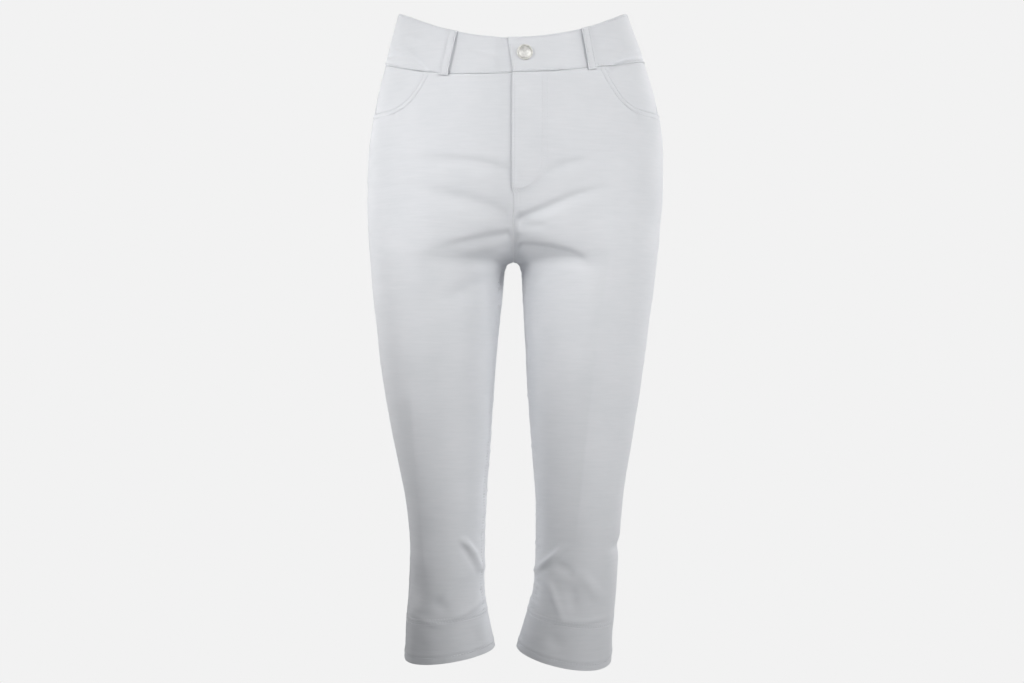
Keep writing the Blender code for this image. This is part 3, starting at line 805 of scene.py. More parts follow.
@dataclass
class Drape:
    """The surface with its folds, pressings and slight unevenness, which every piece follows."""

    surface: ClothSurface
    seam_hold: float = 0.007
    outseam_hold: float = 0.012
    uneven: float = 0.0006
    uneven_size: tuple[float, float, float] = (0.055, 0.055, 0.040)
    uneven_seed: float = 3.7
    drag: float = 0.00022
    drag_size: tuple[float, float, float] = (0.040, 0.040, 0.0075)
    drag_seed: float = 11.3
    press_blunt: float = 0.0008

    def place(self, spots: Spots) -> tuple[Array, Array]:
        """The points of places on the folded cloth, and the directions out of it there."""
        points, normals = self.surface.at(spots), self.surface.outward(spots)
        return points + normals * self.relief(spots, points)[..., None], normals

    def relief(self, spots: Spots, points: Array) -> Array:
        """How far the cloth stands out of the plain surface.

        Args:
            spots: The places.
            points: Their points on the plain surface.

        Returns:
            The lift of each, below zero in a trough.
        """
        side, half, along, row = self.surface.settle(*spots)
        whole = self.surface.whole(side, half, row)
        hold = smooth_step(along / self.seam_hold)
        held = (hold * smooth_step((whole - along) / self.outseam_hold)).ravel()
        hold = hold.ravel()
        flat = points.reshape(-1, 3)
        seen = flat[:, (0, 2)]
        halves = half.ravel()
        lift = np.zeros(len(flat))
        for fold in FOLDS:
            lift += self._fold(fold, seen, halves) * (hold if fold.half is None else held)
        for pressing in PRESSINGS:
            lift += self._pressing(pressing, seen, halves)
        leg = smooth_step((row.ravel() - BAND_ROW) / 1.5)
        lift += leg * self.uneven * noise_at(flat / np.asarray(self.uneven_size) + self.uneven_seed)
        lift += (0.3 + 0.7 * leg) * self.drag * noise_at(flat / np.asarray(self.drag_size) + self.drag_seed)
        return lift.reshape(along.shape)

    def _fold(self, fold: Fold, seen: Array, halves: Array) -> Array:
        """The lift that one fold gives.

        Args:
            fold: The fold.
            seen: The points, seen square on.
            halves: Which half each is on.

        Returns:
            The lift of each.
        """
        line = smooth_line(fold.line)
        reach = 3.5 * fold.width * max(fold.spread, 1.0) * (1 + abs(fold.lean))
        low, high = line.min(0) - reach, line.max(0) + reach
        mine = ((seen >= low) & (seen <= high)).all(axis=1)
        if fold.half is not None:
            mine &= halves == fold.half
        lift = np.zeros(len(seen))
        if not mine.any():
            return lift
        distance, share = along_line(seen[mine], line)
        width = fold.width * (1 + (fold.spread - 1) * share)
        width = width * np.where(distance > 0, 1 - 0.5 * fold.lean, 1 + 0.7 * fold.lean)
        rising = fold.start + (1 - fold.start) * smooth_step(share / 0.35)
        falling = fold.end + (1 - fold.end) * smooth_step((1 - share) / 0.5)
        lift[mine] = -fold.depth * rising * falling * np.exp(-0.5 * (distance / width) ** 2)
        return lift

    def _pressing(self, pressing: Pressing, seen: Array, halves: Array) -> Array:
        """The lift that one pressed crease gives.

        Args:
            pressing: The crease.
            seen: The points, seen square on.
            halves: Which half each is on.

        Returns:
            The lift of each.
        """
        line = smooth_line(pressing.line)
        mine = (halves == Half.FRONT) & (np.abs(seen[:, 0] - line[:, 0].mean()) < 0.08)
        mine &= (seen[:, 1] < line[0, 1] + 0.05) & (seen[:, 1] > line[-1, 1] - 0.05)
        lift = np.zeros(len(seen))
        if not mine.any():
            return lift
        distance, share = along_line(seen[mine], line)
        fading = smooth_step(share / 0.12) * smooth_step((1 - share) / 0.12)
        away = np.sqrt(distance**2 + self.press_blunt**2) / pressing.reach
        lift[mine] = pressing.height * fading * np.exp(-away)
        return lift


# ---------------------------------------------------------------- materials
def linear(colour: str) -> tuple[float, float, float, float]:
    """Turns a colour linear.

    Args:
        colour: Its sRGB hex value.

    Returns:
        The colour for a socket.
    """
    parts = [int(colour[i : i + 2], 16) / 255 for i in (1, 3, 5)]
    parts = [part / 12.92 if part <= 0.04045 else ((part + 0.055) / 1.055) ** 2.4 for part in parts]
    return (*parts, 1.0)


def add_node(
    tree: bpy.types.NodeTree, kind: str, inputs: dict | None = None, **settings: object
) -> bpy.types.Node:
    """Adds a node with its settings and links.

    Args:
        tree: The node tree.
        kind: The node's type, without its ShaderNode prefix.
        inputs: What its inputs are set to, as set_inputs takes it.
        settings: The node's own settings.

    Returns:
        The node.
    """
    node = tree.nodes.new("ShaderNode" + kind)
    for name, value in settings.items():
        setattr(node, name, value)
    set_inputs(tree, node, inputs or {})
    return node


def set_inputs(tree: bpy.types.NodeTree, node: bpy.types.Node, inputs: dict) -> None:
    """Sets some of a node's inputs.

    Args:
        tree: The node tree.
        node: The node.
        inputs: For each input, by name or number, a value or the output that is linked to it.
    """
    for key, value in inputs.items():
        if isinstance(value, bpy.types.NodeSocket):
            tree.links.new(value, node.inputs[key])
        else:
            node.inputs[key].default_value = value


def two_tone(
    tree: bpy.types.NodeTree, share: bpy.types.NodeSocket, shade: str, light: str
) -> bpy.types.NodeSocket:
    """Mixes a finish's two colours by a share."""
    colours = {"Factor": share, 6: linear(shade), 7: linear(light)}
    return add_node(tree, "Mix", colours, data_type="RGBA").outputs[2]


def bumped(
    tree: bpy.types.NodeTree, height: bpy.types.NodeSocket, strength: float, depth: float
) -> bpy.types.NodeSocket:
    """The normals of a finish that is raised by a height."""
    relief = {"Strength": strength, "Distance": depth, "Height": height}
    return add_node(tree, "Bump", relief).outputs["Normal"]


def new_material(name: str) -> tuple[bpy.types.Material, bpy.types.NodeTree, bpy.types.Node]:
    """Makes an empty Principled material.

    Args:
        name: Its name.

    Returns:
        The material, its tree and its shader.
    """
    material = bpy.data.materials.new(name)
    material.use_nodes = True
    tree = material.node_tree
    return material, tree, tree.nodes["Principled BSDF"]


@dataclass(frozen=True)
class StretchTwill:
    """White cotton twill with some elastane: matt, slightly fuzzy, with slubs running across the legs."""

    name: str = "cotton_stretch_twill"
    light: str = "#EAEBEE"
    shade: str = "#E3E5E8"
    roughness: float = 0.86
    sheen: float = 0.22
    sheen_roughness: float = 0.5
    specular: float = 0.3
    # The real twill line is every 0.5 mm; it's drawn coarser, because that is too fine to show.
    twill_pitch: float = 0.0019
    twill_angle: float = 63.0
    slub_pitch: float = 0.0027
    slub_length: float = 0.026
    mottle: float = 0.045
    depth: float = 0.00009

    def build(self) -> bpy.types.Material:
        """Makes the material; its pattern follows the piece's own map, which is in metres.

        Returns:
            The material.
        """
        material, tree, shader = new_material(self.name)
        cloth = add_node(tree, "UVMap", uv_map=UV_NAME).outputs["UV"]
        stretch = (1 / self.slub_length, 1 / self.slub_pitch, 1)
        across = add_node(tree, "Mapping", {"Vector": cloth, "Scale": stretch}).outputs["Vector"]
        slub = add_node(tree, "TexNoise", {"Vector": across, "Scale": 1.0, "Detail": 3.0, "Roughness": 0.6})
        blotch = add_node(tree, "TexNoise", {"Vector": cloth, "Scale": 1 / self.mottle, "Detail": 2.0})
        turn, beat = math.radians(self.twill_angle), 2 * math.pi / self.twill_pitch
        line = (math.cos(turn) * beat, math.sin(turn) * beat, 0)
        phase = add_node(tree, "VectorMath", {0: cloth, 1: line}, operation="DOT_PRODUCT").outputs["Value"]
        twill = add_node(tree, "Math", {0: phase}, operation="SINE").outputs[0]
        weave = add_node(tree, "Math", {0: twill, 1: 0.06, 2: slub.outputs["Fac"]}, operation="MULTIPLY_ADD")
        both = add_node(tree, "Math", {0: slub.outputs["Fac"], 1: blotch.outputs["Fac"]}, operation="ADD")
        part = add_node(tree, "MapRange", {"Value": both.outputs[0], "From Min": 0.6, "From Max": 1.4})
        set_inputs(tree, shader, {
            "Base Color": two_tone(tree, part.outputs[0], self.shade, self.light),
            "Normal": bumped(tree, weave.outputs[0], 1.0, self.depth),
            "Roughness": self.roughness,
            "Sheen Weight": self.sheen,
            "Sheen Roughness": self.sheen_roughness,
            "Specular IOR Level": self.specular,
        })
        return material


@dataclass(frozen=True)
class SewingThread:
    """Spun polyester thread: a twisted two-ply yarn, a little glossier and whiter than the cloth."""

    name: str = "spun_polyester_thread"
    colour: str = "#F1F2F4"
    shade: str = "#DDDFE3"
    roughness: float = 0.6
    sheen: float = 0.1
    ply: float = 0.0006

    def build(self) -> bpy.types.Material:
        """Makes the material, with the twist of the yarn as fine bands.

        Returns:
            The material.
        """
        material, tree, shader = new_material(self.name)
        place = add_node(tree, "TexCoord").outputs["Object"]
        grain = {"Vector": place, "Scale": 1 / self.ply, "Detail": 1.0}
        twist = add_node(tree, "TexNoise", grain).outputs["Fac"]
        set_inputs(tree, shader, {
            "Base Color": two_tone(tree, twist, self.shade, self.colour),
            "Normal": bumped(tree, twist, 0.6, 0.00008),
            "Roughness": self.roughness,
            "Sheen Weight": self.sheen,
        })
        return material


@dataclass(frozen=True)
class NickelPlate:
    """Nickel-plated brass, tumbled: satin bright metal, duller where fingers don't reach."""

    name: str = "tumbled_nickel_plate"
    bright: str = "#F7F6F2"
    dull: str = "#E2E1DD"
    low: float = 0.46
    high: float = 0.58
    grit: float = 0.0007
    metallic: float = 0.5

    def build(self) -> bpy.types.Material:
        """Makes the material.

        Returns:
            The material.
        """
        material, tree, shader = new_material(self.name)
        place = add_node(tree, "TexCoord").outputs["Object"]
        speck = add_node(tree, "TexNoise", {"Vector": place, "Scale": 1 / self.grit, "Detail": 2.0})
        cloud = add_node(tree, "TexNoise", {"Vector": place, "Scale": 1 / (5 * self.grit), "Detail": 1.0})
        worn = add_node(tree, "MapRange", {"Value": cloud.outputs["Fac"], "From Min": 0.35, "From Max": 0.6})
        rough = {"Value": speck.outputs["Fac"], "To Min": self.low, "To Max": self.high}
        set_inputs(tree, shader, {
            "Base Color": two_tone(tree, worn.outputs[0], self.dull, self.bright),
            "Roughness": add_node(tree, "MapRange", rough).outputs[0],
            "Normal": bumped(tree, speck.outputs["Fac"], 0.5, 0.00005),
            "Metallic": self.metallic,
        })
        return material


@dataclass(frozen=True)
class WovenTape:
    """Woven polyester zip tape: flat, close ribs running down it."""

    name: str = "woven_zip_tape"
    light: str = "#E6E8EB"
    shade: str = "#D3D6DA"
    rib: float = 0.0009
    roughness: float = 0.75

    def build(self) -> bpy.types.Material:
        """Makes the material, ribbed across the piece's own map.

        Returns:
            The material.
        """
        material, tree, shader = new_material(self.name)
        cloth = add_node(tree, "UVMap", uv_map=UV_NAME).outputs["UV"]
        beat = (2 * math.pi / self.rib, 0, 0)
        phase = add_node(tree, "VectorMath", {0: cloth, 1: beat}, operation="DOT_PRODUCT").outputs["Value"]
        rib = add_node(tree, "Math", {0: phase}, operation="SINE")
        part = add_node(tree, "MapRange", {"Value": rib.outputs[0], "From Min": -1.0, "From Max": 1.0})
        set_inputs(tree, shader, {
            "Base Color": two_tone(tree, part.outputs[0], self.shade, self.light),
            "Normal": bumped(tree, part.outputs[0], 0.8, 0.0001),
            "Roughness": self.roughness,
        })
        return material


@dataclass
class Wardrobe:
    """The finishes, made once."""

    twill: bpy.types.Material = field(default_factory=lambda: StretchTwill().build())
    thread: bpy.types.Material = field(default_factory=lambda: SewingThread().build())
    nickel: bpy.types.Material = field(default_factory=lambda: NickelPlate().build())
    tape: bpy.types.Material = field(default_factory=lambda: WovenTape().build())


# ---------------------------------------------------------------- objects
def add_object(
    name: str, data: bpy.types.Mesh, material: bpy.types.Material
) -> bpy.types.Object:
    """Links a finished mesh as a piece that rides on the garment's one body.

    Args:
        name: The piece's name.
        data: Its mesh.
        material: Its finish.

    Returns:
        The piece.
    """
    item = bpy.data.objects.new(name, data)
    bpy.context.scene.collection.objects.link(item)
    data.materials.append(material)
    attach(item, ROOT)
    return item


def from_bmesh(mesh: bmesh.types.BMesh, name: str) -> bpy.types.Mesh:
    """Turns a bmesh into a mesh datablock and frees it.

    Args:
        mesh: The bmesh.
        name: The datablock's name.

    Returns:
        The datablock.
    """
    data = bpy.data.meshes.new(name)
    mesh.to_mesh(data)
    mesh.free()
    return data


@dataclass
class Sheet:
    """The grid of places that one piece of cloth covers: rows go down it and columns across."""

    spots: Spots
    edge: Array
    lift: Array
    wall: float

    def size(self, surface: ClothSurface) -> tuple[float, float, float]:
        """Measures the flat cut on the unfolded surface.

        Args:
            surface: The surface.

        Returns:
            The cut's width, length and area.
        """
        points = surface.at(self.spots)
        across = np.linalg.norm(np.diff(points, axis=1), axis=2)
        down = np.linalg.norm(np.diff(points, axis=0), axis=2)
        cells = (across[:-1] + across[1:]) * (down[:, :-1] + down[:, 1:]) / 4
        width, length = across.sum(1).max(), down.sum(0).max()
        return width, length, min(cells.sum(), width * length)


def lay_cloth(
    name: str, sheet: Sheet, drape: Drape, material: bpy.types.Material
) -> bpy.types.Object:
    """Makes a closed shell of cloth whose edges are rolled round.

    Args:
        name: The piece's name.
        sheet: The places it covers.
        drape: The folded surface.
        material: Its finish.

    Returns:
        The piece.
    """
    rows, columns = sheet.spots.along.shape
    mesh = bmesh.new()
    bmesh.ops.create_grid(mesh, x_segments=columns - 1, y_segments=rows - 1, size=0.5)
    made = bmesh.ops.extrude_face_region(mesh, geom=mesh.faces[:], use_keep_orig=True)["geom"]
    inner = [item for item in made if isinstance(item, bmesh.types.BMVert)]
    bmesh.ops.translate(mesh, verts=inner, vec=(0, 0, -1))
    data = from_bmesh(mesh, name)
    grid = np.empty(len(data.vertices) * 3, np.float32)
    data.vertices.foreach_get("co", grid)
    grid = grid.reshape(-1, 3)
    column = np.rint((grid[:, 0] + 0.5) * (columns - 1)).astype(int)
    row = np.rint((0.5 - grid[:, 1]) * (rows - 1)).astype(int)
    inside = grid[:, 2] < -0.5
    points, normals = drape.place(sheet.spots)
    round_off = np.clip(sheet.edge / EDGE_ROLL, 0, 1)
    thick = 0.12 + 0.88 * np.sqrt(1 - (1 - round_off) ** 2)
    middle = sheet.lift - sheet.wall / 2
    lifts = np.stack([middle + thick * sheet.wall / 2, middle - thick * sheet.wall / 2])
    shell = points + normals * lifts[..., None]
    places = shell[inside.astype(int), row, column]
    data.vertices.foreach_set("co", places.astype(np.float32).ravel())
    data.update()
    if volume(data) < 0:
        data.flip_normals()
    flat = np.stack([sheet.spots.along * sheet.spots.side, points[..., 2]], axis=-1)[row, column]
    corner = np.empty(len(data.loops), np.int32)
    data.loops.foreach_get("vertex_index", corner)
    data.uv_layers.new(name=UV_NAME).data.foreach_set("uv", flat[corner].astype(np.float32).ravel())
    data.shade_smooth()
    return add_object(name, data, material)


def volume(data: bpy.types.Mesh) -> float:
    """Measures the signed volume of a closed mesh.

    Args:
        data: The mesh.

    Returns:
        The volume, below zero where the faces point inwards.
    """
    data.calc_loop_triangles()
    corners = np.empty(len(data.loop_triangles) * 3, np.int32)
    data.loop_triangles.foreach_get("vertices", corners)
    points = np.empty(len(data.vertices) * 3, np.float32)
    data.vertices.foreach_get("co", points)
    a, b, c = (points.reshape(-1, 3).astype(float)[corners.reshape(-1, 3)[:, i]] for i in range(3))
    return float((a * np.cross(b, c)).sum() / 6)


# ---------------------------------------------------------------- stitches
@dataclass
class Stitching:
    """Rows of lockstitch on one piece, joined in one mesh."""

    drape: Drape
    length: float = 0.0026
    gap: float = 0.0007
    width: float = 0.0008
    height: float = 0.0008
    rows: list = field(default_factory=list)

    def sew(self, spots: Spots, lift: Array | float, length: float | None = None) -> None:
        """Lays one row of stitches.

        Args:
            spots: A close line of places that the row follows.
            lift: How high the cloth lies there.
            length: The length of one stitch, where it isn't the usual one.
        """
        points, normals = self.drape.place(spots)
        points = points + normals * np.broadcast_to(lift, points.shape[:-1])[..., None]
        passed = passed_along(points)
        stitch = length or self.length
        count = max(1, int(passed[-1] / (stitch + self.gap)))
        middles = (np.arange(count) + 0.5) * passed[-1] / count
        ends = [
            np.stack([np.interp(middles + step, passed, points[:, axis]) for axis in range(3)], axis=1)
            for step in (-stitch / 2, stitch / 2)
        ]
        up = np.stack([np.interp(middles, passed, normals[:, axis]) for axis in range(3)], axis=1)
        self.rows.append((ends[0], ends[1], up))

    def build(self, name: str, material: bpy.types.Material) -> bpy.types.Object:
        """Makes the stitches, each a small rounded grain sunk halfway into the cloth.

        Args:
            name: The piece's name.
            material: Its finish.

        Returns:
            The piece.
        """
        mesh = bmesh.new()
        for starts, finishes, ups in self.rows:
            for start, finish, up in zip(starts, finishes, ups):
                along = Vector(finish - start)
                reach = along.length / 2
                along.normalize()
                out = Vector(up)
                out = (out - along * out.dot(along)).normalized()
                over = out.cross(along)
                axes = (along * reach, over * self.width / 2, out * self.height / 2)
                middle = Matrix.Translation((Vector(start) + Vector(finish)) / 2)
                place = middle @ Matrix(axes).transposed().to_4x4()
                bmesh.ops.create_uvsphere(mesh, u_segments=6, v_segments=4, radius=1.0, matrix=place)
        bmesh.ops.recalc_face_normals(mesh, faces=mesh.faces[:])
        data = from_bmesh(mesh, name)
        data.shade_smooth()
        return add_object(name, data, material)


# ---------------------------------------------------------------- cloth pieces
EDGE_STEPS = (0.0, 0.00018, 0.0004, 0.0008, 0.0014, 0.0022, 0.0032, 0.0044, 0.0058, 0.0074, 0.0092)


def across_stations(
    width: Array, near: Sequence[float], far: Sequence[float], count: int
) -> Array:
    """Distances across a piece, for each of its rows.

    Args:
        width: How wide each row is.
        near: Set distances from its near end.
        far: Set distances from its far end.
        count: How many even ones lie between.

    Returns:
        The distances from the near end.
    """
    near, far = np.asarray(near, float), np.asarray(far, float)
    share = np.linspace(0, 1, count + 2)[1:-1]
    width = np.asarray(width, float)[:, None]
    middle = near[-1] + share * (width - near[-1] - far[-1])
    start = np.broadcast_to(near, (len(width), len(near)))
    return np.concatenate([start, middle, width - far[::-1]], axis=1)


@dataclass
class Tailor:
    """What every piece of cloth needs to be made: the folded surface and the finishes."""

    drape: Drape
    wardrobe: Wardrobe
    down_step: float = 0.0020
    across_step: float = 0.0027
    back_coarser: float = 1.4

    @property
    def surface(self) -> ClothSurface:
        """The plain surface."""
        return self.drape.surface

    def finish(
        self,
        name: str,
        node: str,
        sheet: Sheet,
        held: str,
        rests_on: Sequence[str],
        stitches: Stitching | None = None,
        material: bpy.types.Material | None = None,
        slot: Slot = Slot.TWILL,
    ) -> None:
        """Args:
            name: The piece's name.
            node: The CAD node that it stands for.
            sheet: The places it covers.
            held: How it's held; not used.
            rests_on: What it hangs from; not used.
            stitches: Its rows of stitches.
            material: Its finish, where it isn't the twill.
            slot: The record's slot of that finish; not used.
        """
        item = lay_cloth(name, sheet, self.drape, material or self.wardrobe.twill)
        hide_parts(node)
        width, length, area = sheet.size(self.surface)
        flat = (math.ceil(width * 1000) / 1000, math.ceil(length * 1000) / 1000)
        if stitches and stitches.rows:
            stitches.build(name + "_stitching", self.wardrobe.thread)
        cut = [side * 1000 for side in flat]
        LOG.info("%s: %.0f x %.0f mm, %d faces", name, *cut, len(item.data.polygons))


def pucker(row: Array, edge: Array, depth: float, reach: float, seed: float) -> Array:
    """Small waves square to a seam along its rows, which fade with the distance from its edge."""
    places = np.stack([row.ravel() * 8.0, edge.ravel() * 60.0, np.full(row.size, seed)], axis=1)
    return depth * noise_at(places).reshape(row.shape) * np.exp(-edge / reach)


def groove(
    edge: Array, lines: Sequence[float], depth: float = 0.0004, width: float = 0.0008
) -> Array:
    """The shallow grooves that rows of stitches pull into the cloth, at distances from its edge."""
    return -depth * sum(np.exp(-0.5 * ((edge - line) / width) ** 2) for line in lines)


def ridge(edge: Array, place: float, height: float, width: float) -> Array:
    """The soft ridge of the folded cloth inside a seam, at a distance from its edge."""
    return height * np.exp(-(((edge - place) / width) ** 2))


@dataclass
class LegPanel:
    """A front or back leg panel, from the waistband or the yoke down to the hem's seam."""

    side: Side
    half: Half
    inseam_rows: tuple[float, float] = (0.0018, 0.0070)
    inseam_forward: float = 0.0165
    mouth_rows: tuple[float, float] = (0.0018, 0.0062)
    yoke_rows: tuple[float, float] = (0.0018, 0.0064)
    hem_rows: tuple[float, float] = (0.0016, 0.0048)
    fly_row: float = 0.0017
    rise_rows: tuple[float, float] = (0.0017, 0.0058)
    curve_rows: tuple[float, float] = (-0.0030, 0.0027)
    lap_reach: float = 0.0018
    lap_rise: float = 0.0011
    lap_sink: float = 0.0012
    felled: float = 0.0003
    facing_rise: float = 0.0005

    def lapped(self, row: Array) -> Array:
        """1 beside the open fly, and 0 below it."""
        return 1 - smooth_step((row - 3.75) / 0.3)

    def forward(self, row: Array) -> Array:
        """How far the felled inseam is turned onto the front of the leg, more and more down the thigh."""
        return self.inseam_forward * smooth_step((row - CROTCH_ROW - 0.9) / 4) * (self.half == Half.FRONT)

    def start(self, row: Array) -> Array:
        """Where the panel starts: the left front laps over the right one at the fly.

        Args:
            row: The rows.

        Returns:
            The start's distance from the middle seam at each.
        """
        room = np.full_like(row, SEAM_GAP / 2)
        if self.half == Half.FRONT and self.side == Side.LEFT:
            return room - (self.lap_reach + SEAM_GAP / 2) * self.lapped(row)
        if self.half == Half.FRONT:
            return room - 0.006 * self.lapped(row)
        return room

    def mouth(self, surface: ClothSurface) -> tuple[Array, Array]:
        """Traces the pocket mouth as a fine line.

        Args:
            surface: The plain surface.

        Returns:
            Its section rows and its distances from the outseam.
        """
        height = float(np.diff(surface.run(self.side, Half.FRONT, np.array([1.0, 2.0])))[0])
        line = smooth_line([(scoop.row * height, scoop.from_side) for scoop in SCOOP], 16)
        passed = passed_along(line)
        even = np.linspace(0, passed[-1], int(passed[-1] / 0.0019))
        rows = np.interp(even, passed, line[:, 0]) / height
        return np.maximum.accumulate(rows), np.maximum(np.interp(even, passed, line[:, 1]), 0)

    def mouth_line(self, surface: ClothSurface) -> Array:
        """Lays the pocket mouth out on the flat cloth.

        Args:
            surface: The plain surface.

        Returns:
            Its points: how far each is from the middle seam, and how far down the cloth.
        """
        rows, from_side = self.mouth(surface)
        across = surface.whole(self.side, Half.FRONT, rows) - from_side
        return np.stack([across, surface.run(self.side, Half.FRONT, rows)], axis=1)

    def rise(self, surface: ClothSurface, along: Array, row: Array) -> Array:
        """How far the panel stands out of the folded surface.

        Args:
            surface: The plain surface.
            along: The places' distances from the middle seam.
            row: Their rows.

        Returns:
            The lift of each place.
        """
        out = np.maximum(surface.whole(self.side, self.half, row) - along, 0)
        on_leg = smooth_step((row - CROTCH_ROW) / 0.5)
        felled = along - self.forward(row)
        lift = self.felled * on_leg * (1 - smooth_step((felled - 0.0080) / 0.0012))
        lift = lift + on_leg * pucker(row, np.abs(felled - 0.004), 0.0018, 0.007, 1.0 + self.side)
        lift = lift + on_leg * groove(felled, self.inseam_rows)
        lift = lift + 0.6 * pucker(row, out, 0.0004, 0.008, 5.0 + self.half) * smooth_step((row - 2.1) / 0.2)
        if self.half == Half.FRONT:
            lap = self.lapped(row)
            if self.side == Side.LEFT:
                lift = lift + lap * self.lap_rise * (1 - smooth_step((along - 0.008) / 0.030))
                lift = lift + lap * groove(along + self.lap_reach, (self.fly_row,))
                facing = along - facing_width(row)
                lift = lift + lap * self.facing_rise * (1 - smooth_step(facing / 0.004))
                lift = lift + lap * groove(facing, (0.0,), self.facing_rise, 0.0016)
            else:
                lift = lift - lap * self.lap_sink * (1 - smooth_step(along / 0.018))
        if self.half == Half.BACK or self.side == Side.LEFT:
            seam = groove(along, self.rise_rows) + self.felled * (1 - smooth_step((along - 0.007) / 0.001))
            lift = lift + (1 - on_leg) * (1 - self.lapped(row) * (self.half == Half.FRONT)) * seam
        foot = surface.run(self.side, self.half, np.array([HEM_ROW]))[0]
        hem_edge = foot - surface.run(self.side, self.half, row)
        return lift + groove(hem_edge, self.hem_rows) + ridge(hem_edge, 0.0032, 0.00035, 0.0028)

    def rows(self, tailor: Tailor) -> tuple[Array, Array]:
        """Chooses the panel's rows.

        Args:
            tailor: The surface and the mesh's steps.

        Returns:
            The rows, and how far from the outseam each of them ends.
        """
        surface, step = tailor.surface, tailor.down_step
        if self.half == Half.BACK:
            step = step * tailor.back_coarser
            rows = surface.rows_down(self.side, self.half, 2.0, HEM_ROW, EDGE_STEPS, step)
            return rows, np.zeros(len(rows))
        rows, from_side = self.mouth(surface)
        lower = surface.rows_down(self.side, self.half, SCOOP_FOOT, HEM_ROW, EDGE_STEPS, step)
        lower = lower[len(EDGE_STEPS) - 1 :]
        return np.concatenate([rows, lower]), np.concatenate([from_side, np.zeros(len(lower))])

    def build(self, tailor: Tailor) -> None:
        """Cuts, sews and lays the panel.

        Args:
            tailor: The surface, the finishes and the mesh's steps.
        """
        surface = tailor.surface
        front = self.half == Half.FRONT
        rows, from_side = self.rows(tailor)
        near, step = EDGE_STEPS, tailor.across_step
        if not front:
            step = step * tailor.back_coarser
        elif self.side == Side.LEFT:
            near = (*EDGE_STEPS, *np.arange(0.0112, 0.0440, 0.0022))
        start = self.start(rows)
        gap = np.where(from_side > 0, 0, SEAM_GAP / 2)
        end = surface.whole(self.side, self.half, rows) - from_side - gap
        width = (end - start)[:, None]
        offset = across_stations(end - start, near, EDGE_STEPS, int(width.max() / step))
        along = start[:, None] + offset
        row = np.broadcast_to(rows[:, None], along.shape).copy()
        if not front:
            yoke = yoke_row(along / end[:, None])
            row = np.where(row < 3, 3 - (3 - row) * (3 - yoke), row)
            wide = surface.whole(self.side, self.half, row)
            along = along * wide / surface.whole(self.side, self.half, rows)[:, None]
        down = surface.run(self.side, self.half, row)
        top, foot = down[0], surface.run(self.side, self.half, np.array([HEM_ROW]))[0]
        edge = np.minimum(np.minimum(offset, width - offset), np.minimum(down - top, foot - down))
        lift = self.rise(surface, along, row)
        stitches = Stitching(tailor.drape)
        if front:
            mouth = self.mouth_line(surface)
            close = (row < SCOOP_FOOT + 0.5) & (along > 0.03)
            beside, _ = along_line(np.stack([along[close], down[close]], axis=1), mouth)
            to_mouth = np.full(along.shape, FAR)
            to_mouth[close] = np.abs(beside)
            inner_edge = np.minimum(np.where(row < SCOOP_FOOT, to_mouth, FAR), foot - down)
            inner_edge = np.minimum(inner_edge, np.where(row < SCOOP_FOOT, offset, edge))
            edge = np.minimum(inner_edge, down - top)
            lift = lift + groove(to_mouth, self.mouth_rows) + ridge(to_mouth, 0.0, 0.0003, 0.0045)
            self.sew_mouth(stitches, tailor, mouth)
        self.sew(stitches, tailor)
        name = f"{self.half.name.lower()}_{self.side.word}"
        sheet = Sheet(spots_on(self.side, self.half, along, row), edge, lift, PANEL_WALL)
        above = "waistband" if front else "yoke"
        tailor.finish(name + "_panel", name, sheet, "hung", [f"{above}_{self.side.word}"], stitches)

    def line(
        self,
        tailor: Tailor,
        stitches: Stitching,
        along: Array | float,
        row: Array,
        length: float | None = None,
    ) -> None:
        """Sews one row of stitches, at distances from the middle seam, on the panel."""
        spots = spots_on(self.side, self.half, along, row)
        stitches.sew(spots, self.rise(tailor.surface, spots.along, spots.row) + 0.00012, length)

    def sew_mouth(self, stitches: Stitching, tailor: Tailor, mouth: Array) -> None:
        """Sews the two rows beside the pocket mouth.

        Args:
            stitches: The panel's stitches.
            tailor: The surface.
            mouth: The pocket mouth on the flat cloth.
        """
        surface = tailor.surface
        tangent = np.gradient(mouth, axis=0)
        tangent = tangent / np.linalg.norm(tangent, axis=1, keepdims=True)
        beside = np.stack([-tangent[:, 1], tangent[:, 0]], axis=1)
        fine = surface.run(self.side, self.half, surface.rows)
        for distance in self.mouth_rows:
            line = mouth + beside * distance
            row = np.interp(line[:, 1], fine, surface.rows)
            whole = surface.whole(self.side, self.half, row)
            keep = (row > BAND_ROW + 0.02) & (line[:, 0] < whole - 0.001)
            self.line(tailor, stitches, line[keep, 0], row[keep])

    def sew(self, stitches: Stitching, tailor: Tailor) -> None:
        """Sews the rows along the panel's seams.

        Args:
            stitches: The panel's stitches.
            tailor: The surface.
        """
        surface = tailor.surface
        leg = np.linspace(CROTCH_ROW + 0.9, HEM_ROW - 0.02, 300)
        if self.half == Half.FRONT:
            for along in self.inseam_rows:
                self.line(tailor, stitches, self.forward(leg) + along, leg)
        whole = float(surface.whole(self.side, self.half, np.array([HEM_ROW]))[0])
        around = np.linspace(0.002, whole - 0.002, 200)
        height = float(np.diff(surface.run(self.side, self.half, np.array([17.0, 18.0])))[0])
        for distance in self.hem_rows:
            self.line(tailor, stitches, around, np.full(200, HEM_ROW - distance / height))
        if self.half == Half.FRONT and self.side == Side.LEFT:
            self.sew_fly(stitches, tailor)
        if self.half == Half.BACK:
            self.sew_yoke(stitches, tailor)
            if self.side == Side.LEFT:
                for along in self.rise_rows:
                    self.line(tailor, stitches, along, np.linspace(YOKE_ROW_MIDDLE + 0.05, 7.4, 200))

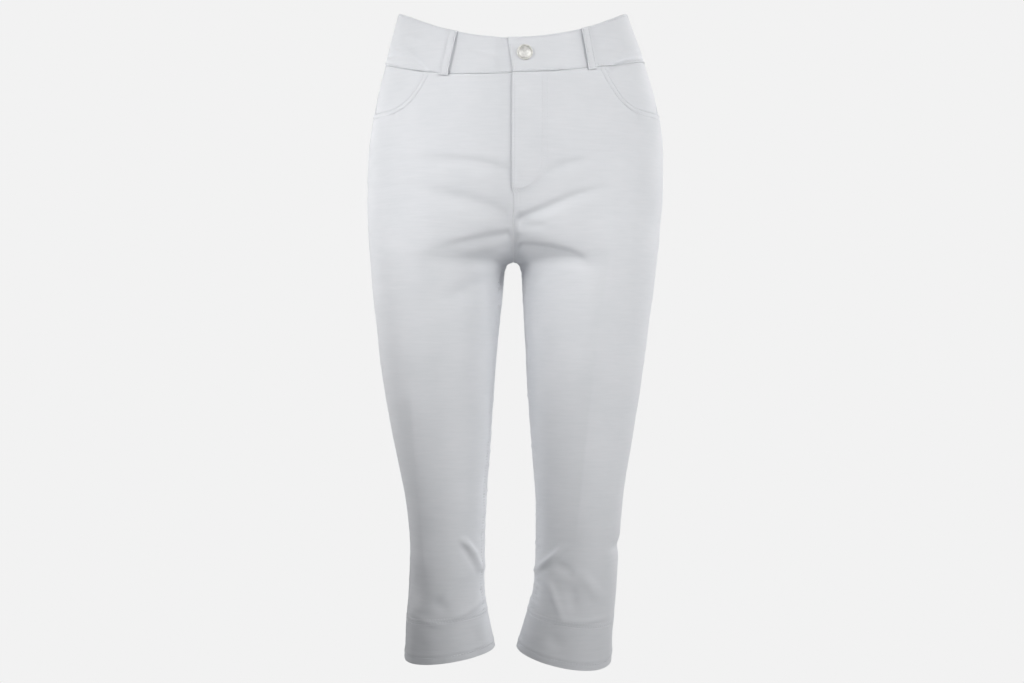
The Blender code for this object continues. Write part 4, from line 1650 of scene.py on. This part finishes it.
    def sew_fly(self, stitches: Stitching, tailor: Tailor) -> None:
        """Sews the fly's edge, the J of its facing in two rows, its bar tacks, and the seam below it.

        Args:
            stitches: The panel's stitches.
            tailor: The surface.
        """
        self.line(tailor, stitches, self.fly_row - self.lap_reach, np.linspace(1.03, 3.86, 160))
        angle = np.linspace(0, 0.5 * math.pi, 60)
        for beyond in self.curve_rows:
            reach = 0.0345 + beyond
            foot = FLY_FOOT_ROW - 0.03 + beyond * 14
            straight = np.linspace(1.03, FLY_STRAIGHT_ROW, 80)
            turning = FLY_STRAIGHT_ROW + (foot - FLY_STRAIGHT_ROW) * np.sin(angle[1:])
            row = np.concatenate([straight, turning])
            along = np.concatenate([np.full(80, reach), reach * np.cos(angle[1:]) ** 0.8])
            keep = along > 0.0015
            self.line(tailor, stitches, along[keep], row[keep])
        for along, row, turned in ((0.0045, 3.90, True), (0.0330, 3.10, False)):
            across = np.linspace(-0.0028, 0.0028, 12)
            for shift in np.linspace(-0.0005, 0.0005, 3):
                if turned:
                    self.line(tailor, stitches, along + across, np.full(12, row + shift * 25), 0.0013)
                else:
                    self.line(tailor, stitches, np.full(12, along + shift), row + across * 22, 0.0013)
        for along in self.rise_rows:
            self.line(tailor, stitches, along, np.linspace(3.97, 7.6, 160))

    def sew_yoke(self, stitches: Stitching, tailor: Tailor) -> None:
        """Sews the two rows below the yoke's seam.

        Args:
            stitches: The panel's stitches.
            tailor: The surface.
        """
        surface = tailor.surface
        share = np.linspace(0.01, 0.99, 160)
        height = float(np.diff(surface.run(self.side, self.half, np.array([1.8, 2.2])))[0]) / 0.4
        for distance in self.yoke_rows:
            row = yoke_row(share) + distance / height
            self.line(tailor, stitches, share * surface.whole(self.side, self.half, row), row)


@dataclass
class Yoke:
    """The back yoke, between the waistband and the slanting seam."""

    side: Side
    height: float = 0.058
    width: float = 0.190
    rise_rows: tuple[float, float] = (0.0018, 0.0060)

    def build(self, tailor: Tailor) -> None:
        """Lays the yoke.

        Args:
            tailor: The surface and the finishes.
        """
        surface, word = tailor.surface, self.side.word
        steps, columns = (
            across_stations(np.array([size]), EDGE_STEPS, EDGE_STEPS, count)[0] / size
            for size, count in ((self.height, 16), (self.width, 72))
        )
        row = BAND_ROW + (yoke_row(columns[None, :]) - BAND_ROW) * steps[:, None]
        whole = surface.whole(self.side, Half.BACK, row)
        along = SEAM_GAP / 2 + (whole - SEAM_GAP) * columns[None, :]
        down = surface.run(self.side, Half.BACK, row)
        lift = pucker(row * 3, down[-1] - down, 0.0004, 0.006, 9.0)
        stitches = Stitching(tailor.drape)
        if self.side == Side.LEFT:
            lift = lift + groove(along, self.rise_rows)
            for distance in self.rise_rows:
                stitches.sew(spots_on(self.side, Half.BACK, distance, np.linspace(1.03, 2.0, 60)), 0.0)
        spots = spots_on(self.side, Half.BACK, along, row)
        sheet = Sheet(spots, edge_distance(along, whole, down), lift, PANEL_WALL)
        name, above = f"yoke_{word}", [f"waistband_{word}"]
        tailor.finish(name + "_panel", name, sheet, "hung", above, stitches)


@dataclass
class PocketFacing:
    """The side piece behind a scooped pocket mouth, which comes up level with the side seam."""

    side: Side
    behind: float = PANEL_WALL + 0.00035
    foot_row: float = 2.2

    def build(self, tailor: Tailor) -> None:
        """Lays the facing.

        Args:
            tailor: The surface and the finishes.
        """
        surface = tailor.surface
        panel = LegPanel(self.side, Half.FRONT)
        rows, from_side = panel.mouth(surface)
        below = np.linspace(SCOOP_FOOT, self.foot_row, 5)[1:]
        rows = np.concatenate([rows, below])
        from_side = np.concatenate([from_side, np.zeros(len(below))])
        whole = surface.whole(self.side, Half.FRONT, rows)
        width = from_side + POCKET_LAP - SEAM_GAP / 2
        offset = across_stations(width, EDGE_STEPS[:5], EDGE_STEPS[:7], 44)
        along = (whole - from_side - POCKET_LAP)[:, None] + offset
        row = np.broadcast_to(rows[:, None], along.shape).copy()
        down = surface.run(self.side, Half.FRONT, row)
        places = np.stack([along.ravel(), down.ravel()], axis=1)
        beside, _ = along_line(places, panel.mouth_line(surface))
        inside = (along > (whole - from_side)[:, None]) & (row < SCOOP_FOOT)
        open_by = np.where(inside, np.abs(beside).reshape(along.shape), 0)
        lift = -self.behind + (self.behind - 0.0002) * smooth_step((open_by - 0.002) / 0.020)
        edge = edge_distance(offset, width[:, None], down)
        sheet = Sheet(spots_on(self.side, Half.FRONT, along, row), edge, lift, FACING_WALL)
        name = f"pocket_facing_{self.side.word}"
        tailor.finish(name + "_panel", name, sheet, "hung", [f"waistband_{self.side.word}"])


@dataclass
class Hem:
    """The deep turned-up hem of one leg, a ring sewn at the inseam."""

    side: Side
    step: float = 0.0021
    low_stitch: float = 0.0072
    low_ridge: float = 0.0006
    wave: float = 0.0011

    def build(self, tailor: Tailor) -> None:
        """Lays the hem.

        Args:
            tailor: The surface and the finishes.
        """
        surface, word = tailor.surface, self.side.word
        rows = surface.rows_down(self.side, Half.FRONT, HEM_ROW, END_ROW, EDGE_STEPS, self.step)
        front = surface.whole(self.side, Half.FRONT, rows)
        total = front + surface.whole(self.side, Half.BACK, rows)
        width = (total - SEAM_GAP)[:, None]
        near = EDGE_STEPS[:6]
        offset = across_stations(total - SEAM_GAP, near, near, int(total.max() / self.step))
        ring = SEAM_GAP / 2 + offset
        row = np.broadcast_to(rows[:, None], ring.shape).copy()
        down = surface.run(self.side, Half.FRONT, row)
        sewn, from_foot = np.minimum(offset, width - offset), down[-1] - down
        lift = groove(from_foot, (self.low_stitch,), 0.0003)
        lift = lift + ridge(from_foot, 0.0095, self.low_ridge, 0.0024)
        lift = lift + pucker(row * 2, from_foot, 0.0005, 0.010, 13.0 + self.side)
        lift = lift + pucker(ring * 30, sewn, 0.0005, 0.008, 17.0)
        seed = np.full(ring.size, 2.0 + self.side)
        places = np.stack([ring.ravel() * 45, row.ravel() * 1.2, seed], axis=1)
        wave = self.wave * noise_at(places).reshape(ring.shape)
        lift = lift + wave * smooth_step((row - HEM_ROW) / 0.5) * smooth_step(sewn / 0.01)
        spots = surface.settle(self.side, Half.FRONT, ring, row)
        sheet = Sheet(spots, edge_distance(offset, width, down), lift, HEM_WALL)
        stitches = Stitching(tailor.drape)
        line = np.linspace(0.002, float(total[-1]) - 0.002, 400)
        low_row = END_ROW - self.low_stitch / float(down[-1, 0] - down[0, 0])
        stitches.sew(surface.settle(self.side, Half.FRONT, line, np.full(400, low_row)), 0.00002)
        name, above = f"hem_{word}", [f"front_{word}", f"back_{word}"]
        tailor.finish(name + "_ring", name, sheet, "folded", above, stitches)


@dataclass
class Waistband:
    """Half of the waistband: the left end laps over the right one under the button."""

    side: Side
    step: float = 0.0019
    edge_rows: tuple[float, float] = (0.0020, 0.0018)
    end_row: float = 0.0019

    def rise(self, along: Array, half: Array) -> Array:
        """How far the band stands out.

        Args:
            along: Signed distances from the centre front.
            half: Which half of the garment each is on.

        Returns:
            The lift at each.
        """
        if self.side == Side.LEFT:
            lift = BAND_STAND + OVERLAP_RISE * (1 - smooth_step((along - 0.045) / 0.020))
        else:
            lift = BAND_STAND - UNDERLAP_SINK * smooth_step((along + 0.022) / 0.012)
        return np.where(half == Half.BACK, BAND_STAND, lift)

    def start(self, row: Array) -> Array:
        """Where the band's end lies.

        Args:
            row: The rows.

        Returns:
            Its distance from the centre front, along the band's own side, at each.
        """
        if self.side == Side.LEFT:
            return LAP_TOP + (LAP_FOOT - LAP_TOP) * row
        return np.full_like(row, -UNDERLAP_LENGTH)

    def spots(self, surface: ClothSurface, along: Array, row: Array) -> tuple[Spots, Array]:
        """Finds places on the band.

        Args:
            surface: The plain surface.
            along: Distances along the band from the centre front.
            row: The rows.

        Returns:
            The places, and how far the band stands out there.
        """
        spots = surface.settle(self.side, Half.FRONT, along, row)
        signed = along * self.side
        past = along > surface.whole(self.side, Half.FRONT, row)
        return spots, self.rise(signed, np.where(past, Half.BACK, Half.FRONT))

    def build(self, tailor: Tailor) -> None:
        """Lays the band.

        Args:
            tailor: The surface and the finishes.
        """
        surface, word = tailor.surface, self.side.word
        rows = surface.rows_down(self.side, Half.FRONT, 0.0, BAND_ROW - 0.003, EDGE_STEPS[:9], self.step)
        start = self.start(rows)
        front = surface.whole(self.side, Half.FRONT, rows)
        whole = front + surface.whole(self.side, Half.BACK, rows)
        width = whole - start - SEAM_GAP / 2
        offset = across_stations(width, EDGE_STEPS[:8], EDGE_STEPS[:6], int(width.max() / self.step))
        along = start[:, None] + offset
        row = np.broadcast_to(rows[:, None], along.shape).copy()
        spots, lift = self.spots(surface, along, row)
        down = surface.run(self.side, Half.FRONT, row)
        top, foot = down - down[0], down[-1] - down
        lift = lift + groove(top, self.edge_rows[:1]) + groove(foot, self.edge_rows[1:])
        lift = lift + pucker(along * 28, np.minimum(top, foot), 0.00035, 0.007, 21.0)
        sheet = Sheet(spots, edge_distance(offset, width[:, None], down), lift, BAND_WALL)
        stitches = Stitching(tailor.drape)
        height = float(down[-1, 0] - down[0, 0])
        line = np.linspace(float(start[-1]) + 0.003, float(whole[-1]) - 0.002, 400)
        for part in (self.edge_rows[0] / height, 1 - self.edge_rows[1] / height):
            sewn_row = np.full(400, part)
            reach = line * surface.whole(self.side, Half.FRONT, sewn_row) / front[-1:]
            sewn, stand = self.spots(surface, reach, sewn_row)
            stitches.sew(sewn, stand - 0.00002)
        if self.side == Side.LEFT:
            end_row = np.linspace(0.05, 0.95, 40)
            sewn, stand = self.spots(surface, self.start(end_row) + self.end_row, end_row)
            stitches.sew(sewn, stand)
        name, below = f"waistband_{word}", [f"front_{word}", f"back_{word}"]
        tailor.finish(name + "_panel", name, sheet, "folded", below, stitches)


@dataclass
class BeltLoop:
    """A belt loop: a folded strip with two rows of stitches, and bar tacks near its foot."""

    number: int
    loop: Loop
    wall: float = 0.0015
    stand: float = 0.0009
    bow: float = 0.0021
    edge_row: float = 0.0021
    length: float = 0.058
    tack_shares: tuple[float, float] = (0.955, 0.975)

    def build(self, tailor: Tailor) -> None:
        """Lays the loop.

        Args:
            tailor: The surface and the finishes.
        """
        surface = tailor.surface
        part = across_stations(np.array([self.length]), EDGE_STEPS[:6], EDGE_STEPS[:6], 46)[0] / self.length
        offset = across_stations(np.array([LOOP_WIDTH]), EDGE_STEPS[:5], EDGE_STEPS[:5], 9)
        offset, part = np.broadcast_arrays(offset, part[:, None])
        spots, lift = self.lay(surface, part, offset)
        beside = np.minimum(offset, LOOP_WIDTH - offset)
        edge = np.minimum(beside, np.minimum(part, 1 - part) * self.length)
        sheet = Sheet(spots, edge, lift + groove(beside, (self.edge_row,), 0.0003), self.wall)
        stitches = Stitching(tailor.drape)
        for across in (self.edge_row, LOOP_WIDTH - self.edge_row):
            sewn, stand = self.lay(surface, np.linspace(0.03, 0.97, 60), np.full(60, across))
            stitches.sew(sewn, stand)
        for share in self.tack_shares:
            across = np.linspace(0.0022, LOOP_WIDTH - 0.0022, 20)
            sewn, stand = self.lay(surface, np.full(20, share), across)
            stitches.sew(sewn, stand + 0.0001, 0.0012)
        name, bands = f"belt_loop_{self.number}", ["waistband_left", "waistband_right"]
        tailor.finish(name + "_strip", name, sheet, "stretched", bands, stitches)

    def lay(self, surface: ClothSurface, part: Array, offset: Array) -> tuple[Spots, Array]:
        """Finds places on the loop.

        Args:
            surface: The plain surface.
            part: Shares of the way down the loop.
            offset: Distances across it.

        Returns:
            The places, and how far the loop stands out there.
        """
        row = LOOP_TOP_ROW + (self.loop.foot_row - LOOP_TOP_ROW) * part
        outer = np.sign(self.loop.top)
        along = self.loop.top + (self.loop.foot - self.loop.top) * part + offset - LOOP_WIDTH / 2
        along = along + LOOP_SHIFT * outer
        inner_share = 0.5 - outer * (offset / LOOP_WIDTH - 0.5)
        lift = self.stand + self.bow * np.sin(math.pi * part) ** 0.7 * inner_share + self.wall
        return surface.settle(np.where(along >= 0, 1, -1), self.loop.half, np.abs(along), row), lift


# ---------------------------------------------------------------- fly
@dataclass
class Fly:
    """What lies behind the fly's edge: the facing, the closed zip on its tape, and the shield."""

    zip_half: float = 0.013
    shield_beyond: float = 0.018
    tooth: tuple[float, float, float] = (0.0030, 0.0011, 0.0013)
    tooth_pitch: float = 0.0023
    facing_tip: float = 0.004
    step: float = 0.003

    @property
    def shield_depth(self) -> float:
        """How deep the shield lies."""
        return SOLID_WALL + SLIDER_SIZE[1] + 2 * SLIDER_GAP + SOLID_FACING + LAYER_GAP

    def tape_depth(self, along: Array) -> Array:
        """How deep the tape lies: deeper past the slider."""
        near = SOLID_WALL + SOLID_FACING + 2 * LAYER_GAP
        far = SOLID_WALL + SLIDER_SIZE[1] + 2 * SLIDER_GAP
        return near + (far - near) * smooth_step((0.004 - along) / 0.008)

    def facing_end(self, rows: Array) -> Array:
        """Where the facing ends at some rows; it's never cut to a point."""
        return np.maximum(facing_width(rows), self.facing_tip)

    def strip(
        self,
        tailor: Tailor,
        start: float,
        end: float | Callable[[Array], Array],
        top: float,
        foot: float,
    ) -> tuple[Spots, Array, Array]:
        """Cuts a strip beside the centre front.

        Args:
            tailor: The surface.
            start: Where it starts, as a signed distance from the centre front.
            end: Where it ends, or what gives that for its rows.
            top: Its first row.
            foot: Its last row.

        Returns:
            Its places, their distances from its edge, and their signed distances from the centre front.
        """
        surface = tailor.surface
        rows = surface.rows_down(Side.LEFT, Half.FRONT, top, foot, EDGE_STEPS[:5], self.step)
        width = np.broadcast_to((end(rows) if callable(end) else end) - start, rows.shape)
        offset = across_stations(width, EDGE_STEPS[:4], EDGE_STEPS[:4], 14)
        along = start + offset
        row = np.broadcast_to(rows[:, None], along.shape).copy()
        edge = edge_distance(offset, width[:, None], surface.run(Side.LEFT, Half.FRONT, row))
        return spots_on(np.where(along >= 0, 1, -1), Half.FRONT, np.abs(along), row), edge, along

    def build(self, tailor: Tailor) -> None:
        """Lays the facing, the tape with its teeth, the shield and the slider.

        Args:
            tailor: The surface and the finishes.
        """
        spots, edge, _ = self.strip(tailor, SEAM_GAP / 2, self.facing_end, 1.06, FLY_FOOT_ROW)
        sheet = Sheet(spots, edge, np.full(edge.shape, -SOLID_WALL - LAYER_GAP), FACING_WALL)
        tailor.finish("fly_facing_panel", "fly_facing", sheet, "hung", ["front_left"])
        spots, edge, _ = self.strip(tailor, -self.shield_beyond, FLY_WIDTH, 1.06, 3.5)
        sheet = Sheet(spots, edge, np.full(edge.shape, -self.shield_depth), SOLID_WALL)
        tailor.finish("fly_shield_panel", "fly_shield", sheet, "hung", ["front_right"])
        spots, edge, along = self.strip(tailor, -self.zip_half, self.zip_half, 1.08, 3.4)
        sheet = Sheet(spots, edge, -self.tape_depth(along), FACING_WALL)
        finish = tailor.wardrobe.tape
        tailor.finish("zip_tape_strip", "zip_tape", sheet, "hung", ["fly_facing"], None, finish, Slot.TAPE)
        self.teeth(tailor)
        self.slider(tailor)

    def frame_at(self, tailor: Tailor, along: float, row: float, lift: float) -> Matrix:
        """Places a hard piece on the cloth.

        Args:
            tailor: The surface.
            along: Its signed distance from the centre front.
            row: Its row.
            lift: How far it stands out of the surface.

        Returns:
            Its frame, with Z outward and Y up.
        """
        spots = spots_on(1 if along >= 0 else -1, Half.FRONT, np.array([abs(along)]), np.array([row]))
        point, normal = tailor.surface.at(spots)[0], Vector(tailor.surface.outward(spots)[0])
        up = (Vector((0, 0, 1)) - normal * normal.z).normalized()
        turn = Matrix((up.cross(normal), up, normal)).transposed().to_4x4()
        return Matrix.Translation(Vector(point) + normal * lift) @ turn

    def teeth(self, tailor: Tailor) -> None:
        """Two interlocked rows of moulded teeth down the tape, below the slider.

        Args:
            tailor: The surface and the finishes.
        """
        surface = tailor.surface
        mesh = bmesh.new()
        top, foot = surface.run(Side.RIGHT, Half.FRONT, np.array([SLIDER_ROW + 0.14, 3.3]))
        fine = surface.run(Side.RIGHT, Half.FRONT, surface.rows)
        depth = float(self.tape_depth(np.array([SLIDER_ALONG]))[0])
        for number, place in enumerate(np.arange(top, foot, self.tooth_pitch / 2)):
            row = float(np.interp(place, fine, surface.rows))
            beside = 0.0008 if number % 2 else -0.0008
            matrix = self.frame_at(tailor, SLIDER_ALONG + beside, row, -depth + self.tooth[2] / 2 + 0.00005)
            made = bmesh.ops.create_cube(mesh, size=1.0)["verts"]
            bmesh.ops.scale(mesh, vec=self.tooth, verts=made)
            bmesh.ops.transform(mesh, matrix=matrix, verts=made)
        item = add_object("zip_teeth", from_bmesh(mesh, "zip_teeth"), tailor.wardrobe.nickel)
        LOG.info("zip teeth: %d faces", len(item.data.polygons))

    def slider(self, tailor: Tailor) -> None:
        """The zip's slider: a rounded body with its bridge.

        Args:
            tailor: The surface and the finishes.
        """
        mesh = bmesh.new()
        wide, thick, tall = SLIDER_SIZE
        body = bmesh.ops.create_cube(mesh, size=1.0)["verts"]
        bmesh.ops.scale(mesh, vec=(wide, tall, thick * 0.8), verts=body)
        waist = [vert for vert in body if vert.co.y < 0]
        bmesh.ops.scale(mesh, vec=(0.72, 1, 1), verts=waist)
        bmesh.ops.bevel(
            mesh, geom=mesh.edges[:], offset=0.0006, segments=3, affect="EDGES", profile=0.5, material=-1
        )
        bridge = bmesh.ops.create_cube(mesh, size=1.0)["verts"]
        lid = Matrix.Translation((0, 0.0006, thick * 0.42))
        lid = lid @ Matrix.Diagonal((wide * 0.28, tall * 0.55, thick * 0.2, 1))
        bmesh.ops.transform(mesh, matrix=lid, verts=bridge)
        centre = -SOLID_WALL - SLIDER_GAP - thick / 2
        matrix = self.frame_at(tailor, SLIDER_ALONG, SLIDER_ROW, centre)
        bmesh.ops.transform(mesh, matrix=matrix, verts=mesh.verts)
        data = from_bmesh(mesh, "zip_slider_body")
        data.shade_smooth()
        data.set_sharp_from_angle(angle=math.radians(40))
        item = add_object("zip_slider_body", data, tailor.wardrobe.nickel)
        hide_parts("zip_slider")
        LOG.info("zip slider: %.1f x %.1f mm", wide * 1000, tall * 1000)


# ---------------------------------------------------------------- button
@dataclass
class ShankButton:
    """The waistband's shank button and the tack behind it."""

    steps: int = 64
    roll: float = 0.00055

    def turned(
        self, tailor: Tailor, name: str, profile: Sequence[tuple[float, float]], matrix: Matrix
    ) -> bpy.types.Object:
        """Makes a turned piece.

        Args:
            tailor: The finishes.
            name: The piece's name.
            profile: Its radii and heights, from the top of the axis down its side.
            matrix: Its frame.

        Returns:
            The piece.
        """
        mesh = bmesh.new()
        verts = [mesh.verts.new((radius, 0.0, height)) for radius, height in profile]
        edges = [mesh.edges.new(pair) for pair in zip(verts, verts[1:])]
        bmesh.ops.spin(
            mesh, geom=verts + edges, cent=(0, 0, 0), axis=(0, 0, 1), angle=2 * math.pi,
            steps=self.steps, use_merge=True,
        )
        bmesh.ops.remove_doubles(mesh, verts=mesh.verts[:], dist=1e-6)
        bmesh.ops.recalc_face_normals(mesh, faces=mesh.faces[:])
        bmesh.ops.transform(mesh, matrix=matrix, verts=mesh.verts)
        data = from_bmesh(mesh, name)
        data.shade_smooth()
        data.set_sharp_from_angle(angle=math.radians(55))
        return add_object(name, data, tailor.wardrobe.nickel)

    def build(self, tailor: Tailor) -> None:
        """Makes the button with its dished face and rolled rim, and its tack.

        Args:
            tailor: The surface and the finishes.
        """
        base = Fly().frame_at(tailor, BUTTON_ALONG, BUTTON_ROW, 0.0)
        back = BAND_STAND + OVERLAP_RISE + 0.0005
        edge, rim = back + BUTTON_RIM, BUTTON_RADIUS
        face = [
            (0.0, edge - 0.00035),
            (rim - 0.0023, edge - 0.00025),
            (rim - 0.0021, edge - 0.00045),
            (rim - 0.0020, edge - 0.00160),
            (rim - 0.0011, edge - 0.00160),
        ]
        turn = np.radians(np.linspace(170, -80, 12))
        roll = self.roll
        rolled = [(rim - roll + roll * math.cos(a), edge - roll + roll * math.sin(a)) for a in turn]
        shank = [
            (rim - 0.0016, back + 0.0001),
            (SHANK_RADIUS + 0.0006, back),
            (SHANK_RADIUS, back - 0.0004),
            (SHANK_RADIUS, BAND_STAND - UNDERLAP_SINK + SEAM_GAP),
            (0.0, BAND_STAND - UNDERLAP_SINK + SEAM_GAP),
        ]
        item = self.turned(tailor, "shank_button", face + rolled + shank, base)
        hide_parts("button")
        top = BAND_STAND - UNDERLAP_SINK - BAND_WALL - SEAM_GAP
        tack = [
            (0.0, top),
            (TACK_RADIUS - 0.0003, top),
            (TACK_RADIUS, top - 0.0003),
            (TACK_RADIUS - 0.0008, top - TACK_WALL + 0.0001),
            (TACK_RADIUS - 0.0016, top - TACK_WALL),
            (0.0016, top - TACK_WALL),
            (0.0, top - TACK_WALL + 0.0003),
        ]
        item = self.turned(tailor, "shank_button_tack", tack, base)
        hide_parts("button_tack")
        LOG.info("shank button: %.1f mm", rim * 2000)


# ---------------------------------------------------------------- studio
class Lamp(NamedTuple):
    """A soft lamp: its place and aim, its size in metres, its power in watts, and its beam in degrees.

    A lamp with no beam is an open panel. A beam fades evenly from its middle to its edge, so that the upper
    garment is lit more than the hems.
    """

    name: str
    place: tuple[float, float, float]
    aim: tuple[float, float, float]
    size: float
    power: float
    beam: float = 0.0


LAMPS = (
    Lamp("key", (1.3, -1.9, 0.75), (0.0, 0.0, -0.18), 0.25, 32.0, 44.0),
    Lamp("key_tight", (1.3, -1.9, 0.75), (0.0, 0.0, -0.18), 0.25, 46.0, 28.0),
    Lamp("top", (0.5, -1.6, 1.20), (0.0, 0.0, -0.20), 0.30, 15.0, 36.0),
    Lamp("fill", (-1.6, -1.6, 0.40), (0.0, 0.0, -0.20), 0.30, 20.0, 44.0),
    Lamp("fill_tight", (-1.6, -1.6, 0.40), (0.0, 0.0, -0.19), 0.30, 63.0, 28.0),
    Lamp("fill_side", (-1.9, -0.9, 0.30), (0.0, 0.0, -0.18), 0.30, 34.0, 26.0),
    Lamp("under", (0.0, -2.3, -0.90), (0.0, 0.0, -0.24), 0.25, 22.0, 22.0),
    Lamp("left_side", (2.1, -0.2, 0.20), (0.0, 0.0, -0.22), 0.30, 38.0, 34.0),
    Lamp("right_side", (-2.1, -0.2, 0.20), (0.0, 0.0, -0.21), 0.30, 46.0, 25.0),
    Lamp("shin", (1.6, -1.4, -0.30), (0.0, 0.0, -0.68), 0.20, 13.0, 26.0),
    Lamp("low", (1.8, -1.0, -0.55), (0.0, 0.0, -0.50), 0.80, 8.0),
    Lamp("back_left", (1.4, 1.7, 0.7), (0.0, 0.0, -0.30), 1.20, 26.0),
    Lamp("back_right", (-1.5, 1.5, 0.5), (0.0, 0.0, -0.30), 1.20, 20.0),
)


@dataclass
class Studio:
    """A plain pale studio and the camera."""

    pale: str = "#F2F2F2"
    glow: float = 0.02
    floor_glow: float = 0.23
    glow_colour: str = "#F4F6FA"
    floor_z: float = -1.02
    floor_size: float = 60.0
    camera_place: tuple[float, float, float] = (0.0, -2.0, -0.370)
    camera_tilt: float = 90.304
    lens: float = 61.89
    sensor: float = 36.0

    def pale_to_eye(self, tree: bpy.types.NodeTree, kind: str, strength: float) -> bpy.types.NodeSocket:
        """Makes a shader that looks evenly pale but lights the scene by its own glow.

        Args:
            tree: The node tree.
            kind: The glowing node's type.
            strength: The strength of the glow.

        Returns:
            The shader's output.
        """
        path = add_node(tree, "LightPath").outputs["Is Camera Ray"]
        seen = add_node(tree, kind, {"Color": linear(self.pale), "Strength": 1.0})
        lit = add_node(tree, kind, {"Color": linear(self.glow_colour), "Strength": strength})
        return add_node(tree, "MixShader", {0: path, 1: lit.outputs[0], 2: seen.outputs[0]}).outputs[0]

    def build(self) -> None:
        """Makes the world, the floor, the lamps and the camera."""
        scene = bpy.context.scene
        scene.view_settings.view_transform = "Standard"
        scene.view_settings.look = "None"
        world = bpy.data.worlds.new("pale_studio")
        world.use_nodes = True
        tree = world.node_tree
        shader = self.pale_to_eye(tree, "Background", self.glow)
        tree.links.new(shader, tree.nodes["World Output"].inputs["Surface"])
        scene.world = world
        self.floor()
        for lamp in LAMPS:
            self.lamp(lamp)
        data = bpy.data.cameras.new("camera")
        data.lens, data.sensor_width = self.lens, self.sensor
        camera = bpy.data.objects.new("camera", data)
        camera.location = self.camera_place
        camera.rotation_euler = (math.radians(self.camera_tilt), 0, 0)
        scene.collection.objects.link(camera)
        scene.camera = camera

    def floor(self) -> None:
        """The floor, as far below the waist as where a wearer stands."""
        mesh = bmesh.new()
        bmesh.ops.create_grid(mesh, x_segments=1, y_segments=1, size=self.floor_size / 2)
        bmesh.ops.translate(mesh, verts=mesh.verts, vec=(0, 0, self.floor_z))
        item = bpy.data.objects.new("floor", from_bmesh(mesh, "floor"))
        bpy.context.scene.collection.objects.link(item)
        material, tree, shader = new_material("pale_floor")
        tree.nodes.remove(shader)
        surface = self.pale_to_eye(tree, "Emission", self.floor_glow)
        tree.links.new(surface, tree.nodes["Material Output"].inputs["Surface"])
        item.data.materials.append(material)
        item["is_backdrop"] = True

    def lamp(self, lamp: Lamp) -> None:
        """Hangs one lamp and aims it.

        Args:
            lamp: The lamp.
        """
        if lamp.beam:
            data = bpy.data.lights.new(lamp.name, "SPOT")
            data.shadow_soft_size, data.spot_size = lamp.size, math.radians(lamp.beam)
            data.spot_blend = 1.0
        else:
            data = bpy.data.lights.new(lamp.name, "AREA")
            data.shape, data.size = "DISK", lamp.size
        data.energy = lamp.power
        item = bpy.data.objects.new(lamp.name, data)
        place = Vector(lamp.place)
        item.location = place
        item.rotation_euler = (Vector(lamp.aim) - place).to_track_quat("-Z", "Y").to_euler()
        item.visible_camera = False
        bpy.context.scene.collection.objects.link(item)


def main() -> None:
    """Builds the garment piece by piece, then the studio."""
    logging.basicConfig(level=logging.INFO, format="%(name)s %(message)s")
    tailor = Tailor(Drape(ClothSurface()), Wardrobe())
    for side in Side:
        for half in Half:
            LegPanel(side, half).build(tailor)
        Yoke(side).build(tailor)
        PocketFacing(side).build(tailor)
        Hem(side).build(tailor)
        Waistband(side).build(tailor)
    for number, loop in enumerate(LOOPS, 1):
        BeltLoop(number, loop).build(tailor)
    Fly().build(tailor)
    ShankButton().build(tailor)
    Studio().build()
    total = sum(len(piece.data.polygons) * 2 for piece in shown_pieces())
    LOG.info("about %d triangles in all", total)


if __name__ == "__main__":
    main()
